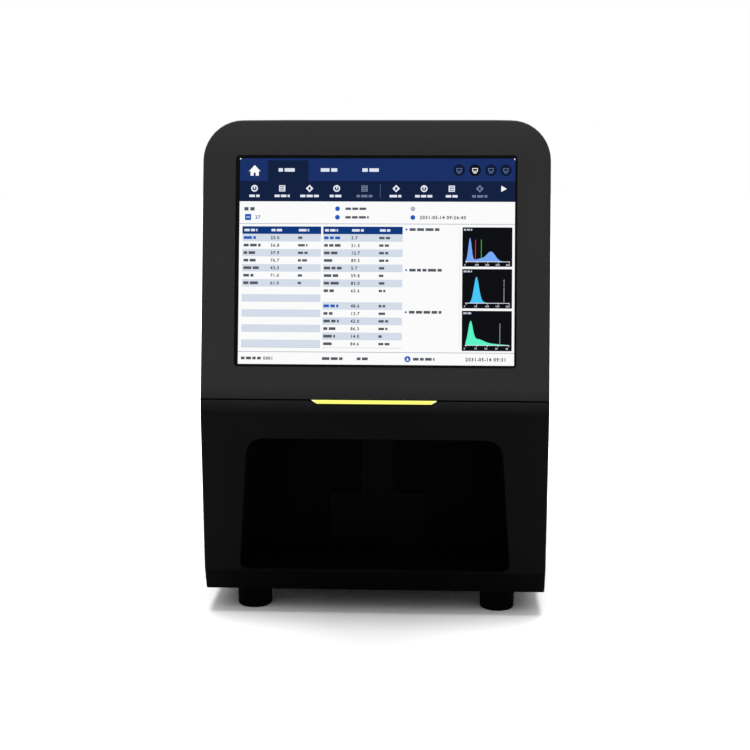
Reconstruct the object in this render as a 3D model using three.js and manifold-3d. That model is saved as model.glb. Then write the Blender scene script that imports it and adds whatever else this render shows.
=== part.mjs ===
// Bench-top blood cell analyzer with a tilted touch screen and a powered sample drawer.
// Millimetres, +Z up, +X to the right, the front faces -Y.
// The origin lies on the bench, under the middle of the casing.

import * as THREE from 'three';
import { mergeVertices } from 'three/addons/utils/BufferGeometryUtils.js';
import Module from 'manifold-3d';

const wasm = await Module();
wasm.setup();

// Gaps that every fit in the machine uses
const fit = {
  seat: 0.3,
  run: 0.3,
  slide: 0.4,
  reveal: 0.5,
  overrun: 6,
};

// Screen: the lit area sets the width of the casing and the run of its sloped face
const screen = {
  activeWidth: 211.2,
  activeHeight: 158.4,
  sideMargin: 26.9,
  bottomMargin: 26.5,
  topMargin: 28.3,
  windowBorder: 1.6,
  windowRadius: 3,
  lipThickness: 0.9,
  glassThickness: 1.8,
  glassOverlap: 5,
  moduleOverlapX: 15,
  moduleOverlapY: 13,
  moduleThickness: 11,
  bracketThickness: 1.5,
  bracketHeight: 150,
  bossRadius: 3,
  bossInset: 7,
};

// Casing: side profile and shells
const casing = {
  depth: 350,
  wall: 3,
  underside: 17.8,
  seamHeight: 171.2,
  tiltDegrees: 12,
  bendDrop: 9,
  bendRoundShare: 0.85,
  faceLeanDegrees: 2,
  chinFoldHeight: 35.8,
  chinSetback: 7,
  returnDepth: 40,
  topRadius: 30.4,
  edgeRadius: 1.6,
  connectorReach: 5,
  rearRecess: 1,
};

// Sample bay in the lower front cover, narrower at the top than at the bottom
const bay = {
  topDrop: 30.2,
  topSideMargin: 35.3,
  bottomSideMargin: 27.6,
  upperRadius: 13,
  lowerRadius: 5.5,
  depth: 69,
  floorDrop: 1.3,
  wall: 2.5,
  rimWidth: 8,
  rimThickness: 2,
};

// Status light between the bezel and the lower cover
const lightBar = {
  topWidth: 98.2,
  bottomWidth: 87,
  height: 3.4,
  depth: 5,
  flange: 2,
  flangeThickness: 1.6,
};

const base = {
  thickness: 2,
  flangeHeight: 11,
};

const foot = {
  radius: 13.5,
  sideInset: 36.2,
  frontInset: 30,
  rearInset: 36,
  edge: 1.2,
  studRadius: 3,
  studRise: 4,
};

const rearPanel = {
  thickness: 2,
};

// Vent slots in the left wall of the main cover
const vents = {
  count: 12,
  pitch: 8,
  slotHeight: 3,
  slotLength: 54,
  firstHeight: 190,
  rearInset: 110,
};

const door = {
  front: -60,
  rear: 66,
  bottom: 50,
  height: 212,
  cornerRadius: 5,
  axisInset: 4,
  barrelRadius: 3,
  barrelLength: 24,
  pinRadius: 1.5,
  pinGrip: 12,
  hingeReveal: 1.5,
  sideReveal: 0.7,
  pullLength: 40,
  pullWidth: 9,
  pullRadius: 3,
  pullDepth: 1.6,
  pullInset: 6,
};

// Drawer that carries the sample tube
const tube = {
  length: 75,
  wellRadius: 7,
  clearance: 2,
};

const drawer = {
  frontWidth: 78,
  frontHeight: 44.6,
  frontThickness: 2.5,
  floorGap: 1.8,
  shieldWidth: 26,
  shieldDrop: 8,
  floorRise: 2.6,
  floorThickness: 3,
  trayHalfWidth: 25.8,
  trayLength: 36,
  trayWall: 2,
  trayWallHeight: 14,
  armHalfSpread: 30,
  armWidth: 4,
  armHeight: 10,
  armRise: 10.6,
  armLength: 94,
  rackInner: 20,
  rackWidth: 6,
  rackHeight: 5.5,
  rackLength: 93,
  rackClearance: 0.3,
  frontReveal: 0.5,
};

const holder = {
  halfWidth: 16,
  length: 30,
  height: 36.7,
  wellDepth: 29,
  tubeSetback: 20,
  cornerRadius: 3.5,
};

const guide = {
  web: 2,
  lip: 8,
  flange: 2,
  footWidth: 8,
};

const pinion = {
  module: 0.8,
  teeth: 16,
  clearance: 0.25,
  backlash: 0.16,
  pressureDegrees: 20,
  boreRadius: 1.9,
  tipShare: 0.9,
};

const drawerMotor = {
  radius: 9.7,
  length: 20,
  shaftRadius: 1.5,
};

// Upright plate that carries the moving probe
const chassis = {
  left: -44,
  thickness: 2,
  frontGap: 1.5,
  footWidth: 16,
  topMargin: 12,
};

const rail = {
  height: 12,
  width: 7,
  neck: 3,
  grooveHeight: 5,
  centreHeight: 200,
  rearMargin: 10,
};

const belt = {
  width: 6,
  thickness: 1.2,
  axisRise: 21,
  pulleyRadius: 6,
  pulleyBoreRadius: 2.3,
  flangeRadius: 7,
  flangeThickness: 0.5,
  idlerLead: 8,
  drivePlaceShare: 0.8,
  plateGap: 3,
};

const carriage = {
  length: 28,
  blockHeight: 22,
  blockOuter: 15,
  plateThickness: 3,
  frameLength: 24,
  armReach: 29,
  clampLength: 12,
  clampJaw: 2.2,
  clampInset: 2,
  plateGap: 3,
  headroom: 4,
};

const motor = {
  size: 28,
  length: 26,
  corner: 3,
  shaftRadius: 2,
};

const lift = {
  screwRadius: 2.5,
  screwOffset: 14,
  rodRadius: 3,
  rodOffset: 6,
  holderHeight: 18,
  holderDepth: 20,
  holderSide: 6,
};

const probe = {
  radius: 0.75,
  tipInset: 4,
  tipGap: 1,
  headRadius: 2.4,
  headHeight: 3,
  boreGap: 0.3,
};

const wipe = {
  halfWidth: 6,
  depth: 16,
  height: 19.7,
  boreRadius: 1.8,
  portRadius: 1.6,
};

// Counting chambers
const bath = {
  outerRadius: 11,
  innerRadius: 8.5,
  bottom: 44,
  height: 68,
  floor: 4,
  flangeRadius: 14,
  flangeThickness: 2.5,
  drainRadius: 3,
  drainLength: 8,
  rbcPlaceShare: 0.4,
  wbcPlaceShare: 0.63,
};

const bathBracket = {
  top: 63,
  thickness: 3,
  margin: 3,
  skirt: 20,
};

const fluidics = {
  left: 40,
  thickness: 2,
  motorGap: 12.3,
  height: 220,
  footWidth: 14,
};

// Syringes: the thin one meters the sample, the wide one the diluent
const syringe = {
  bottom: 150,
  travel: 36,
  headHeight: 12,
  collarHeight: 8,
  blockMargin: 3,
  wall: 1.5,
  pistonHeight: 6,
  pistonTopGap: 4,
  rodRadius: 2,
  rodEnd: 60,
  nozzleRadius: 2,
  nozzleHeight: 6,
  motorBottom: 78,
  sampleRadius: 5.5,
  samplePlaceShare: 0.153,
  diluentRadius: 11,
  diluentPlaceShare: 0.473,
};

const syringes = [
  { name: 'sample', placeShare: syringe.samplePlaceShare, outerRadius: syringe.sampleRadius },
  { name: 'diluent', placeShare: syringe.diluentPlaceShare, outerRadius: syringe.diluentRadius },
];

const pump = {
  rearInset: 30,
  centreHeight: 56,
  bodySize: 34,
  bodyDepth: 24,
  motorRadius: 12,
  motorLength: 28,
  portRadius: 2.5,
  portLength: 8,
  portSpread: 8,
};

// Electronics behind the upright panel
const electronics = {
  rearInset: 89,
  thickness: 2,
  footWidth: 14,
  topMargin: 5,
  standoffRadius: 3,
  standoffHeight: 6,
  standoffInset: 8,
};

const board = {
  width: 210,
  bottom: 120,
  height: 180,
  thickness: 1.6,
  chipSizes: [[30, 34, 3], [22, 22, 9], [60, 12, 8], [16, 40, 11], [40, 26, 5]],
  chipPlaceShares: [[0.25, 0.7], [0.5, 0.55], [0.75, 0.85], [0.9, 0.4], [0.6, 0.2]],
};

const supply = {
  sideGap: 11.5,
  width: 96,
  depth: 44,
  height: 62,
  grooveCount: 7,
  groovePitch: 10,
  grooveWidth: 3,
  grooveDepth: 1.2,
};

const inlet = {
  sideInset: 44.5,
  bottom: 34,
  flangeWidth: 50,
  flangeHeight: 70,
  flangeThickness: 2.5,
  flangeRadius: 3,
  bodyMargin: 3,
  bodyDepth: 30,
  socketWidth: 24.5,
  socketHeight: 16.5,
  socketDepth: 17,
  socketRise: 6,
  pinWidth: 4,
  pinThickness: 2,
  pinLength: 13,
  pinSpread: 7,
  pinOffset: 2,
  fuseWidth: 26,
  fuseHeight: 9,
  fuseDepth: 22,
  fuseRise: 27,
  fuseTrayInset: 0.8,
  fuseTrayWall: 1.6,
  rockerWidth: 21,
  rockerHeight: 14,
  rockerDepth: 12,
  rockerRise: 44,
  rockerTiltDegrees: 10,
  rockerAxisDepth: 3,
};

const usb = {
  centreX: -16,
  bottom: 44,
  width: 15,
  height: 16,
  socketWidth: 12.6,
  socketHeight: 5,
  socketDepth: 12,
  tongue: 2,
};

const network = {
  centreX: 12,
  bottom: 44,
  width: 17,
  height: 15,
  socketWidth: 12,
  socketHeight: 8,
  socketDepth: 12,
  latchWidth: 4,
  latchHeight: 2.4,
};

const jack = {
  depth: 20,
  proud: 1.5,
  flange: 1.5,
  flangeThickness: 1.2,
};

const port = {
  sideInset: 36.5,
  firstHeight: 50,
  pitch: 30,
  threadRadius: 6,
  nutRadius: 9,
  nutThickness: 3,
  barbRadius: 3.4,
  barbTip: 2.4,
  bore: 1.4,
  insideLength: 14,
  names: ['waste_port', 'lyse_port', 'diluent_port'],
};

const fan = {
  size: 80,
  depth: 25,
  centreX: 60,
  topDrop: 87.74,
  boreRadius: 37,
  cornerRadius: 5,
  hubRadius: 16,
  hubDepth: 17,
  hubBoreShare: 0.66,
  bladeCount: 7,
  bladeReach: 34.5,
  bladeThickness: 1.6,
  bladeChord: 15,
  bladePitchDegrees: 38,
  armWidth: 6,
  armThickness: 3,
  spindleRadius: 1.5,
  grilleRings: 4,
  grilleBar: 2,
  screwRadius: 2.2,
  screwSpread: 71.5,
};

// Numbers of straight steps in round shapes
const steps = {
  corner: 5,
  bend: 4,
  round: 20,
  small: 12,
  fine: 24,
};

// Colours and finishes of the materials
const finishes = {
  bezelPlastic: { color: '#303030', roughness: 0.55, metalness: 0 },
  coverPlastic: { color: '#141414', roughness: 0.5, metalness: 0 },
  bayPlastic: { color: '#070707', roughness: 0.6, metalness: 0 },
  rubber: { color: '#0b0b0b', roughness: 0.85, metalness: 0 },
  yellowLens: { color: '#faf976', roughness: 0.3, metalness: 0 },
  glass: { color: '#12244a', roughness: 0.1, metalness: 0 },
  steel: { color: '#b4b6b8', roughness: 0.35, metalness: 0.9 },
  sheetMetal: { color: '#8d9093', roughness: 0.45, metalness: 0.8 },
  aluminium: { color: '#c3c5c8', roughness: 0.35, metalness: 0.8 },
  motorBlack: { color: '#1b1b1d', roughness: 0.45, metalness: 0.3 },
  circuitBoard: { color: '#1d5a35', roughness: 0.5, metalness: 0 },
  blackPlastic: { color: '#161617', roughness: 0.5, metalness: 0 },
  clearPlastic: { color: '#d9e2e6', roughness: 0.12, metalness: 0 },
  whitePlastic: { color: '#e4e4e0', roughness: 0.4, metalness: 0 },
};

// Places worked out from the sizes above

const tilt = THREE.MathUtils.degToRad(casing.tiltDegrees);
const faceLean = THREE.MathUtils.degToRad(casing.faceLeanDegrees);
const slope = Math.tan(tilt);

const width = screen.activeWidth + 2 * screen.sideMargin;
const half = width / 2;
const inner = half - casing.wall;
const panelRun = screen.bottomMargin + screen.activeHeight + screen.topMargin;
const top = casing.seamHeight + panelRun * Math.cos(tilt);

const frontY = -casing.depth / 2;
const rearY = casing.depth / 2 - casing.connectorReach;
const seamY = frontY + casing.bendDrop * Math.sin(tilt);
const bendZ = casing.seamHeight - casing.bendDrop * Math.cos(tilt);
const foldY = frontY + (bendZ - casing.chinFoldHeight) * Math.tan(faceLean);
const chinY = foldY + casing.chinSetback;
const partingY = seamY + casing.returnDepth;
const shellEndY = rearY + casing.rearRecess;
const panelInnerY = rearY - rearPanel.thickness;
const baseTop = casing.underside + base.thickness;
const seatOnBase = baseTop + fit.seat;

const bayTop = casing.seamHeight - bay.topDrop;
const bayTopHalf = half - bay.topSideMargin;
const bayBottomHalf = half - bay.bottomSideMargin;
const bayBackY = frontY + bay.depth;
const liningBackY = bayBackY + bay.wall;
const bayFloor = casing.chinFoldHeight - bay.floorDrop;

// The tube stands behind the drawer front, and the machine's inner parts lie between it and the electronics
const tubeY = bayBackY + holder.tubeSetback;
const electronicsFront = rearY - electronics.rearInset;
const electronicsBack = electronicsFront + electronics.thickness;
const insidePlace = (share) => THREE.MathUtils.lerp(tubeY, electronicsFront, share);
const rbcY = insidePlace(bath.rbcPlaceShare);
const wbcY = insidePlace(bath.wbcPlaceShare);
const driveY = insidePlace(belt.drivePlaceShare);

// Joining, cutting and drawing

function toSolid(geometry) {
  const bare = geometry.clone();
  bare.deleteAttribute('normal');
  bare.deleteAttribute('uv');
  const merged = mergeVertices(bare);
  return new wasm.Manifold(new wasm.Mesh({
    numProp: 3,
    vertProperties: new Float32Array(merged.attributes.position.array),
    triVerts: new Uint32Array(merged.index.array),
  }));
}

function toGeometry(solid) {
  const mesh = solid.getMesh();
  const geometry = new THREE.BufferGeometry();
  geometry.setAttribute('position', new THREE.BufferAttribute(mesh.vertProperties, 3));
  geometry.setIndex(new THREE.BufferAttribute(mesh.triVerts, 1));
  geometry.computeVertexNormals();
  return geometry;
}

function join(first, ...others) {
  return toGeometry(others.reduce((solid, piece) => solid.add(toSolid(piece)), toSolid(first)));
}

function cut(first, ...tools) {
  return toGeometry(tools.reduce((solid, tool) => solid.subtract(toSolid(tool)), toSolid(first)));
}

function common(first, ...others) {
  return toGeometry(others.reduce((solid, piece) => solid.intersect(toSolid(piece)), toSolid(first)));
}

// A range that starts at one value, and a range centred on one
const from = (start, length) => [start, start + length];
const around = (middle, length) => [middle - length / 2, middle + length / 2];
const grown = ([low, high], margin) => [low - margin, high + margin];

function box([x0, x1], [y0, y1], [z0, z1]) {
  const geometry = new THREE.BoxGeometry(x1 - x0, y1 - y0, z1 - z0);
  return geometry.translate((x0 + x1) / 2, (y0 + y1) / 2, (z0 + z1) / 2);
}

function rectangle([a0, a1], [b0, b1]) {
  return [[a0, b0], [a1, b0], [a1, b1], [a0, b1]];
}

function circle(radius, [a, b] = [0, 0], sides = steps.round) {
  return Array.from({ length: sides }, (unused, i) => {
    const angle = (i / sides) * 2 * Math.PI;
    return [a + radius * Math.cos(angle), b + radius * Math.sin(angle)];
  });
}

// Turns each corner of a polygon into an arc of its own radius
function roundCorners(corners, radii, count = steps.corner) {
  return corners.flatMap((corner, i) => {
    const radius = radii[i];
    if (radius === 0) return [corner];
    const here = new THREE.Vector2(...corner);
    const back = new THREE.Vector2(...corners.at(i - 1)).sub(here).normalize();
    const ahead = new THREE.Vector2(...corners[(i + 1) % corners.length]).sub(here).normalize();
    const halfAngle = Math.acos(THREE.MathUtils.clamp(back.dot(ahead), -1, 1)) / 2;
    const reach = radius / Math.tan(halfAngle);
    const middle = back.clone().add(ahead).normalize();
    const centre = here.clone().addScaledVector(middle, radius / Math.sin(halfAngle));
    const start = here.clone().addScaledVector(back, reach).sub(centre).angle();
    const end = here.clone().addScaledVector(ahead, reach).sub(centre).angle();
    const sweep = THREE.MathUtils.euclideanModulo(end - start + Math.PI, 2 * Math.PI) - Math.PI;
    return Array.from({ length: count + 1 }, (unused, k) => {
      const angle = start + (sweep * k) / count;
      return [centre.x + radius * Math.cos(angle), centre.y + radius * Math.sin(angle)];
    });
  });
}

function roundedRectangle(as, bs, radius) {
  return roundCorners(rectangle(as, bs), [radius, radius, radius, radius]);
}

// Moves an open line sideways by a distance, with mitred corners
function inset(points, distance) {
  const lines = points.slice(1).map(([a1, b1], i) => {
    const [a0, b0] = points[i];
    const length = Math.hypot(a1 - a0, b1 - b0);
    const shift = [(-(b1 - b0) / length) * distance, ((a1 - a0) / length) * distance];
    return [[a0 + shift[0], b0 + shift[1]], [a1 + shift[0], b1 + shift[1]]];
  });
  const meeting = ([[a0, b0], [a1, b1]], [[c0, d0], [c1, d1]]) => {
    const cross = (a1 - a0) * (d1 - d0) - (b1 - b0) * (c1 - c0);
    const share = ((c0 - a0) * (d1 - d0) - (d0 - b0) * (c1 - c0)) / cross;
    return [a0 + share * (a1 - a0), b0 + share * (b1 - b0)];
  };
  const corners = lines.slice(1).map((line, i) => meeting(lines[i], line));
  return [lines[0][0], ...corners, lines.at(-1)[1]];
}

function extrude(points, length, options = {}) {
  const shape = new THREE.Shape(points.map(([a, b]) => new THREE.Vector2(a, b)));
  const holes = options.holes ?? [];
  shape.holes = holes.map((hole) => new THREE.Path(hole.map(([a, b]) => new THREE.Vector2(a, b))));
  const edge = options.edge ?? 0;
  return new THREE.ExtrudeGeometry(shape, {
    depth: length - 2 * edge,
    bevelEnabled: edge > 0,
    bevelThickness: edge,
    bevelSize: edge,
    bevelOffset: -edge,
    bevelSegments: 2,
  }).translate(0, 0, edge);
}

// Each push draws an outline in the plane across an axis and draws it out along that axis
const axisX = new THREE.Vector3(1, 0, 0);
const axisY = new THREE.Vector3(0, 1, 0);
const axisZ = new THREE.Vector3(0, 0, 1);
const alongX = new THREE.Matrix4().makeBasis(axisY, axisZ, axisX);
const alongY = new THREE.Matrix4().makeBasis(axisX, axisZ, axisY.clone().negate());

const pushX = (points, [low, high], options) =>
  extrude(points, high - low, options).applyMatrix4(alongX).translate(low, 0, 0);
const pushY = (points, [low, high], options) =>
  extrude(points, high - low, options).applyMatrix4(alongY).translate(0, high, 0);
const pushZ = (points, [low, high], options) =>
  extrude(points, high - low, options).translate(0, 0, low);

const rodX = (radius, xs, place, sides) => pushX(circle(radius, place, sides), xs);
const rodY = (radius, ys, place, sides) => pushY(circle(radius, place, sides), ys);
const rodZ = (radius, zs, place, sides) => pushZ(circle(radius, place, sides), zs);

// Turned shapes: the profile lists radius and height, upwards on its outer side
function turned(profile, sides = steps.round) {
  const points = profile.map(([radius, height]) => new THREE.Vector2(radius, height));
  return new THREE.LatheGeometry(points, sides);
}
const turnedZ = (profile, sides) => turned(profile, sides).rotateX(Math.PI / 2);
const turnedY = (profile, sides) => turned(profile, sides);

// The screen stands in a plane of its own: x across, y up the slope, z out to the user
const panelPlane = new THREE.Matrix4()
  .makeTranslation(0, seamY, casing.seamHeight)
  .multiply(new THREE.Matrix4().makeRotationX(Math.PI / 2 - tilt));
const onPanel = (geometry) => geometry.applyMatrix4(panelPlane);

// Leans a shape back with the screen, and leaves its height and width alone
const lean = new THREE.Matrix4().set(
  1, 0, 0, 0,
  0, 1, slope, -casing.seamHeight * slope,
  0, 0, 1, 0,
  0, 0, 0, 1,
);

// The model is a group of named meshes

const analyzer = new THREE.Group();

function add(name, geometry, finish, parent = analyzer) {
  const mesh = new THREE.Mesh(geometry, new THREE.MeshStandardMaterial(finishes[finish]));
  mesh.name = name;
  parent.add(mesh);
  return mesh;
}

// Casing outline seen from the front, moved inwards by a margin
function archOutline(margin, bottom) {
  const corners = rectangle([margin - half, half - margin], [bottom, top - margin]);
  const radius = casing.topRadius - margin;
  return roundCorners(corners, [0, 0, radius, radius], 2 * steps.corner);
}

// Screen bezel: leaning tray with the screen window, glass pocket and four bosses
const seamTop = casing.seamHeight + fit.reveal / 2;
const seamBottom = casing.seamHeight - fit.reveal / 2;
const windowMiddle = screen.bottomMargin + screen.activeHeight / 2;
const windowX = around(0, screen.activeWidth + 2 * screen.windowBorder);
const windowY = around(windowMiddle, screen.activeHeight + 2 * screen.windowBorder);
const glassX = grown(windowX, screen.glassOverlap);
const glassY = grown(windowY, screen.glassOverlap);
const glassFront = -screen.lipThickness - fit.seat;
const glassBack = glassFront - screen.glassThickness;
const moduleX = grown(around(0, screen.activeWidth), screen.moduleOverlapX);
const moduleY = grown(around(windowMiddle, screen.activeHeight), screen.moduleOverlapY);
const moduleFront = -casing.wall - fit.seat;
const moduleBack = moduleFront - screen.moduleThickness;
const bracketX = around(0, 2 * (inner - fit.seat));
const bracketY = around(windowMiddle, screen.bracketHeight);
const bossX = inner - screen.bossInset / 2;
const bossY = [bracketY[0] + screen.bossInset, bracketY[1] - screen.bossInset];
const bossPlaces = [-bossX, bossX].flatMap((x) => bossY.map((y) => [x, y]));

{
  const trayOuter = pushY(
    archOutline(0, seamTop - fit.overrun),
    [seamY, partingY + fit.overrun],
    { edge: casing.edgeRadius },
  ).applyMatrix4(lean);
  const trayInner = pushY(
    archOutline(casing.wall, seamTop + casing.wall),
    [seamY + casing.wall, partingY + 2 * fit.overrun],
  ).applyMatrix4(lean);
  const keep = pushX([
    [seamY - fit.overrun, seamTop],
    [partingY + (seamTop - casing.seamHeight) * slope, seamTop],
    [partingY + (top + fit.overrun - casing.seamHeight) * slope, top + fit.overrun],
    [seamY - fit.overrun, top + fit.overrun],
  ], grown([-half, half], fit.overrun));
  const window = onPanel(pushZ(
    roundedRectangle(windowX, windowY, screen.windowRadius),
    around(0, 2 * casing.wall + fit.overrun),
  ));
  const pocket = onPanel(box(
    grown(glassX, fit.seat),
    grown(glassY, fit.seat),
    from(-casing.wall - fit.overrun, casing.wall + fit.overrun - screen.lipThickness),
  ));
  const bosses = bossPlaces.map((place) => onPanel(rodZ(
    screen.bossRadius,
    [moduleBack, -casing.wall / 2],
    place,
    steps.small,
  )));
  const shell = cut(common(trayOuter, keep), trayInner, window, pocket);
  add('screen_bezel', join(shell, ...bosses), 'bezelPlastic');
}

// Glass, display and bracket stand in the leaning plane
const panel = new THREE.Group();
panel.position.set(0, seamY, casing.seamHeight);
panel.rotation.x = Math.PI / 2 - tilt;
analyzer.add(panel);

add('touch_glass', box(glassX, glassY, [glassBack, glassFront]), 'glass', panel);

add('lcd_module', box(moduleX, moduleY, [moduleBack, moduleFront]), 'sheetMetal', panel);

{
  const front = moduleBack - fit.seat;
  const plate = box(bracketX, bracketY, [front - screen.bracketThickness, front]);
  const holes = bossPlaces.map((place) => rodZ(
    screen.bossRadius / 2,
    around(front, 2 * fit.overrun),
    place,
    steps.small,
  ));
  add('display_bracket', cut(plate, ...holes), 'sheetMetal', panel);
}

// Front line of the lower cover, from the seam down to the underside
const bend = [frontY, bendZ];
const fold = [foldY, casing.chinFoldHeight];
const chin = [chinY, casing.underside];
const seamPoint = [seamY + (seamBottom - casing.seamHeight) * slope, seamBottom];
const lowerLine = [seamPoint, bend, fold, chin];

// Rounds the bend of such a line and leaves its other corners sharp
function withRoundBend(line) {
  const bendReach = casing.bendDrop * casing.bendRoundShare;
  const radius = bendReach / Math.tan((tilt + faceLean) / 2);
  return roundCorners(line, [0, radius, ...line.slice(2).map(() => 0)], steps.bend);
}

// A copy of the front line at a distance inside it, from a given roof down to a given floor
function frontLine(distance, roof = seamBottom, floor = casing.underside) {
  const line = inset(lowerLine, distance);
  const [first, last] = [line[0], line.at(-1)];
  const chinSlope = (chin[0] - fold[0]) / (fold[1] - chin[1]);
  const start = [first[0] + (roof - first[1]) * slope, roof];
  const end = [last[0] + (last[1] - floor) * chinSlope, floor];
  return [start, ...line.slice(1, -1), end];
}

// Everything behind such a line, as an outline in the side view
function behindLine(distance, endY, roof = seamBottom, floor = casing.underside) {
  return withRoundBend([...frontLine(distance, roof, floor), [endY, floor], [endY, roof]]);
}

// Bay outline seen from the front, grown by a margin, down to a given floor
function bayOutline(margin, floor) {
  const spread = (bayBottomHalf - bayTopHalf) / (bayTop - casing.chinFoldHeight);
  const lowHalf = bayBottomHalf + margin + (casing.chinFoldHeight - floor) * spread;
  const highHalf = bayTopHalf + margin;
  const roof = bayTop + margin;
  const corners = [[-lowHalf, floor], [lowHalf, floor], [highHalf, roof], [-highHalf, roof]];
  const low = bay.lowerRadius + margin;
  const high = bay.upperRadius + margin;
  return roundCorners(corners, [low, low, high, high]);
}

// Light bar lens: a wedge-sided bar in the notch under the seam, with a flange behind the wall
const lensTop = -fit.reveal / 2 - fit.seat;
const lensBottom = lensTop - lightBar.height;

function lensOutline(margin, roof = lensTop + margin) {
  const low = lensBottom - margin;
  const spread = (lightBar.topWidth - lightBar.bottomWidth) / 2 / lightBar.height;
  const highHalf = lightBar.topWidth / 2 + margin + (roof - lensTop) * spread;
  const lowHalf = lightBar.bottomWidth / 2 + margin;
  return [[-lowHalf, low], [lowHalf, low], [highHalf, roof], [-highHalf, roof]];
}

{
  const bar = pushZ(lensOutline(0), [-casing.wall - lightBar.depth, 0]);
  const flange = pushZ(
    lensOutline(lightBar.flange, lensTop),
    [-casing.wall - fit.seat - lightBar.flangeThickness, -casing.wall - fit.seat],
  );
  add('light_bar_lens', join(bar, flange), 'yellowLens', panel);
}

// Lower front cover: front and side walls, with the bay opening and the light bar notch
{
  const roof = seamBottom + fit.overrun;
  const floor = casing.underside - fit.overrun;
  const outer = pushX(
    behindLine(0, partingY + fit.overrun, roof, floor),
    [-half, half],
    { edge: casing.edgeRadius },
  );
  const keep = box(
    grown([-half, half], fit.overrun),
    [frontY - fit.overrun, partingY],
    [casing.underside, seamBottom],
  );
  const hollow = pushX(
    behindLine(casing.wall, partingY + 2 * fit.overrun, roof, floor),
    [-inner, inner],
  );
  const opening = pushY(bayOutline(0, casing.chinFoldHeight), [frontY - fit.overrun, partingY]);
  const notch = onPanel(pushZ(
    lensOutline(fit.seat, lensTop + fit.overrun),
    around(0, 2 * casing.wall + fit.overrun),
  ));
  add('lower_front_cover', cut(common(outer, keep), hollow, opening, notch), 'coverPlastic');
}

// Bay liner: a tray behind the opening, with a rim behind the cover and a drawer hole at the back
const drawerBottom = bayFloor + drawer.floorGap;
const drawerTop = drawerBottom + drawer.frontHeight;
const drawerFrontY = bayBackY;

function drawerFrontOutline(margin) {
  const low = drawerBottom - margin;
  const shoulder = drawerTop + margin;
  const wide = drawer.frontWidth / 2 + margin;
  const narrow = drawer.shieldWidth / 2 + margin;
  const roof = bayTop - drawer.shieldDrop + margin;
  const corners = [
    [-wide, low], [wide, low], [wide, shoulder], [narrow, shoulder],
    [narrow, roof], [-narrow, roof], [-narrow, shoulder], [-wide, shoulder],
  ];
  const round = drawer.frontThickness + margin;
  return roundCorners(corners, [0, 0, round, 0, round, round, 0, round], steps.bend);
}

{
  const wholeDepth = [frontY - fit.overrun, liningBackY];
  const rimFront = casing.wall + fit.seat;
  const rimBack = rimFront + bay.rimThickness;
  const body = pushY(bayOutline(bay.wall, bayFloor - bay.wall), wholeDepth);
  const rim = pushY(bayOutline(bay.rimWidth, bayFloor - bay.rimWidth), wholeDepth);
  const slab = cut(
    pushX(behindLine(rimFront, bayBackY), [-inner, inner]),
    pushX(behindLine(rimBack, bayBackY + fit.overrun), grown([-inner, inner], fit.overrun)),
  );
  const behind = pushX(behindLine(rimFront, liningBackY + fit.overrun), [-inner, inner]);
  const hollow = pushY(bayOutline(0, bayFloor), [frontY - fit.overrun, bayBackY]);
  const drawerHole = pushY(drawerFrontOutline(drawer.frontReveal), around(bayBackY, 2 * fit.overrun));
  const tray = join(common(body, behind), common(rim, slab));
  add('bay_liner', cut(tray, hollow, drawerHole), 'bayPlastic');
}

// Main cover: arch-shaped wrap over the sides and top, with vents on the left and a door opening
const doorZ = from(door.bottom, door.height);
const doorY = [door.front, door.rear];
const doorAxis = [half - door.barrelRadius, door.rear - door.axisInset];
const pinHoleRadius = door.pinRadius + fit.run;
const hingeGap = fit.reveal;

{
  const shellY = [partingY - fit.overrun, shellEndY];
  const shell = cut(
    pushY(archOutline(0, casing.underside), shellY),
    pushY(archOutline(casing.wall, casing.underside - fit.overrun), grown(shellY, fit.overrun)),
  );
  const startY = partingY + fit.reveal;
  const keep = pushX([
    [startY, casing.underside - fit.overrun],
    [shellEndY, casing.underside - fit.overrun],
    [shellEndY, top + fit.overrun],
    [startY + (top + fit.overrun - casing.seamHeight) * slope, top + fit.overrun],
    [startY, casing.seamHeight],
  ], grown([-half, half], fit.overrun));
  const slots = Array.from({ length: vents.count }, (unused, i) => box(
    around(-half, 4 * casing.wall),
    from(shellEndY - vents.rearInset, vents.slotLength),
    from(vents.firstHeight + i * vents.pitch, vents.slotHeight),
  ));
  const opening = box(
    around(half, 4 * casing.wall),
    [door.front - door.sideReveal, door.rear + door.hingeReveal],
    grown(doorZ, hingeGap),
  );
  const bossHeight = door.pinGrip + casing.wall;
  const bossRanges = [
    from(doorZ[1] + hingeGap, bossHeight),
    from(doorZ[0] - hingeGap - bossHeight, bossHeight),
  ];
  const bosses = bossRanges.map((range) => rodZ(door.barrelRadius, range, doorAxis, steps.small));
  const boreRanges = [
    from(doorZ[1] + hingeGap - fit.overrun, door.pinGrip + fit.overrun),
    from(doorZ[0] - hingeGap - door.pinGrip, door.pinGrip + fit.overrun),
  ];
  const bores = boreRanges.map((range) => rodZ(pinHoleRadius, range, doorAxis, steps.small));
  const open = cut(common(shell, keep), opening, ...slots);
  add('main_cover', cut(join(open, ...bosses), ...bores), 'coverPlastic');
}

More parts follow.
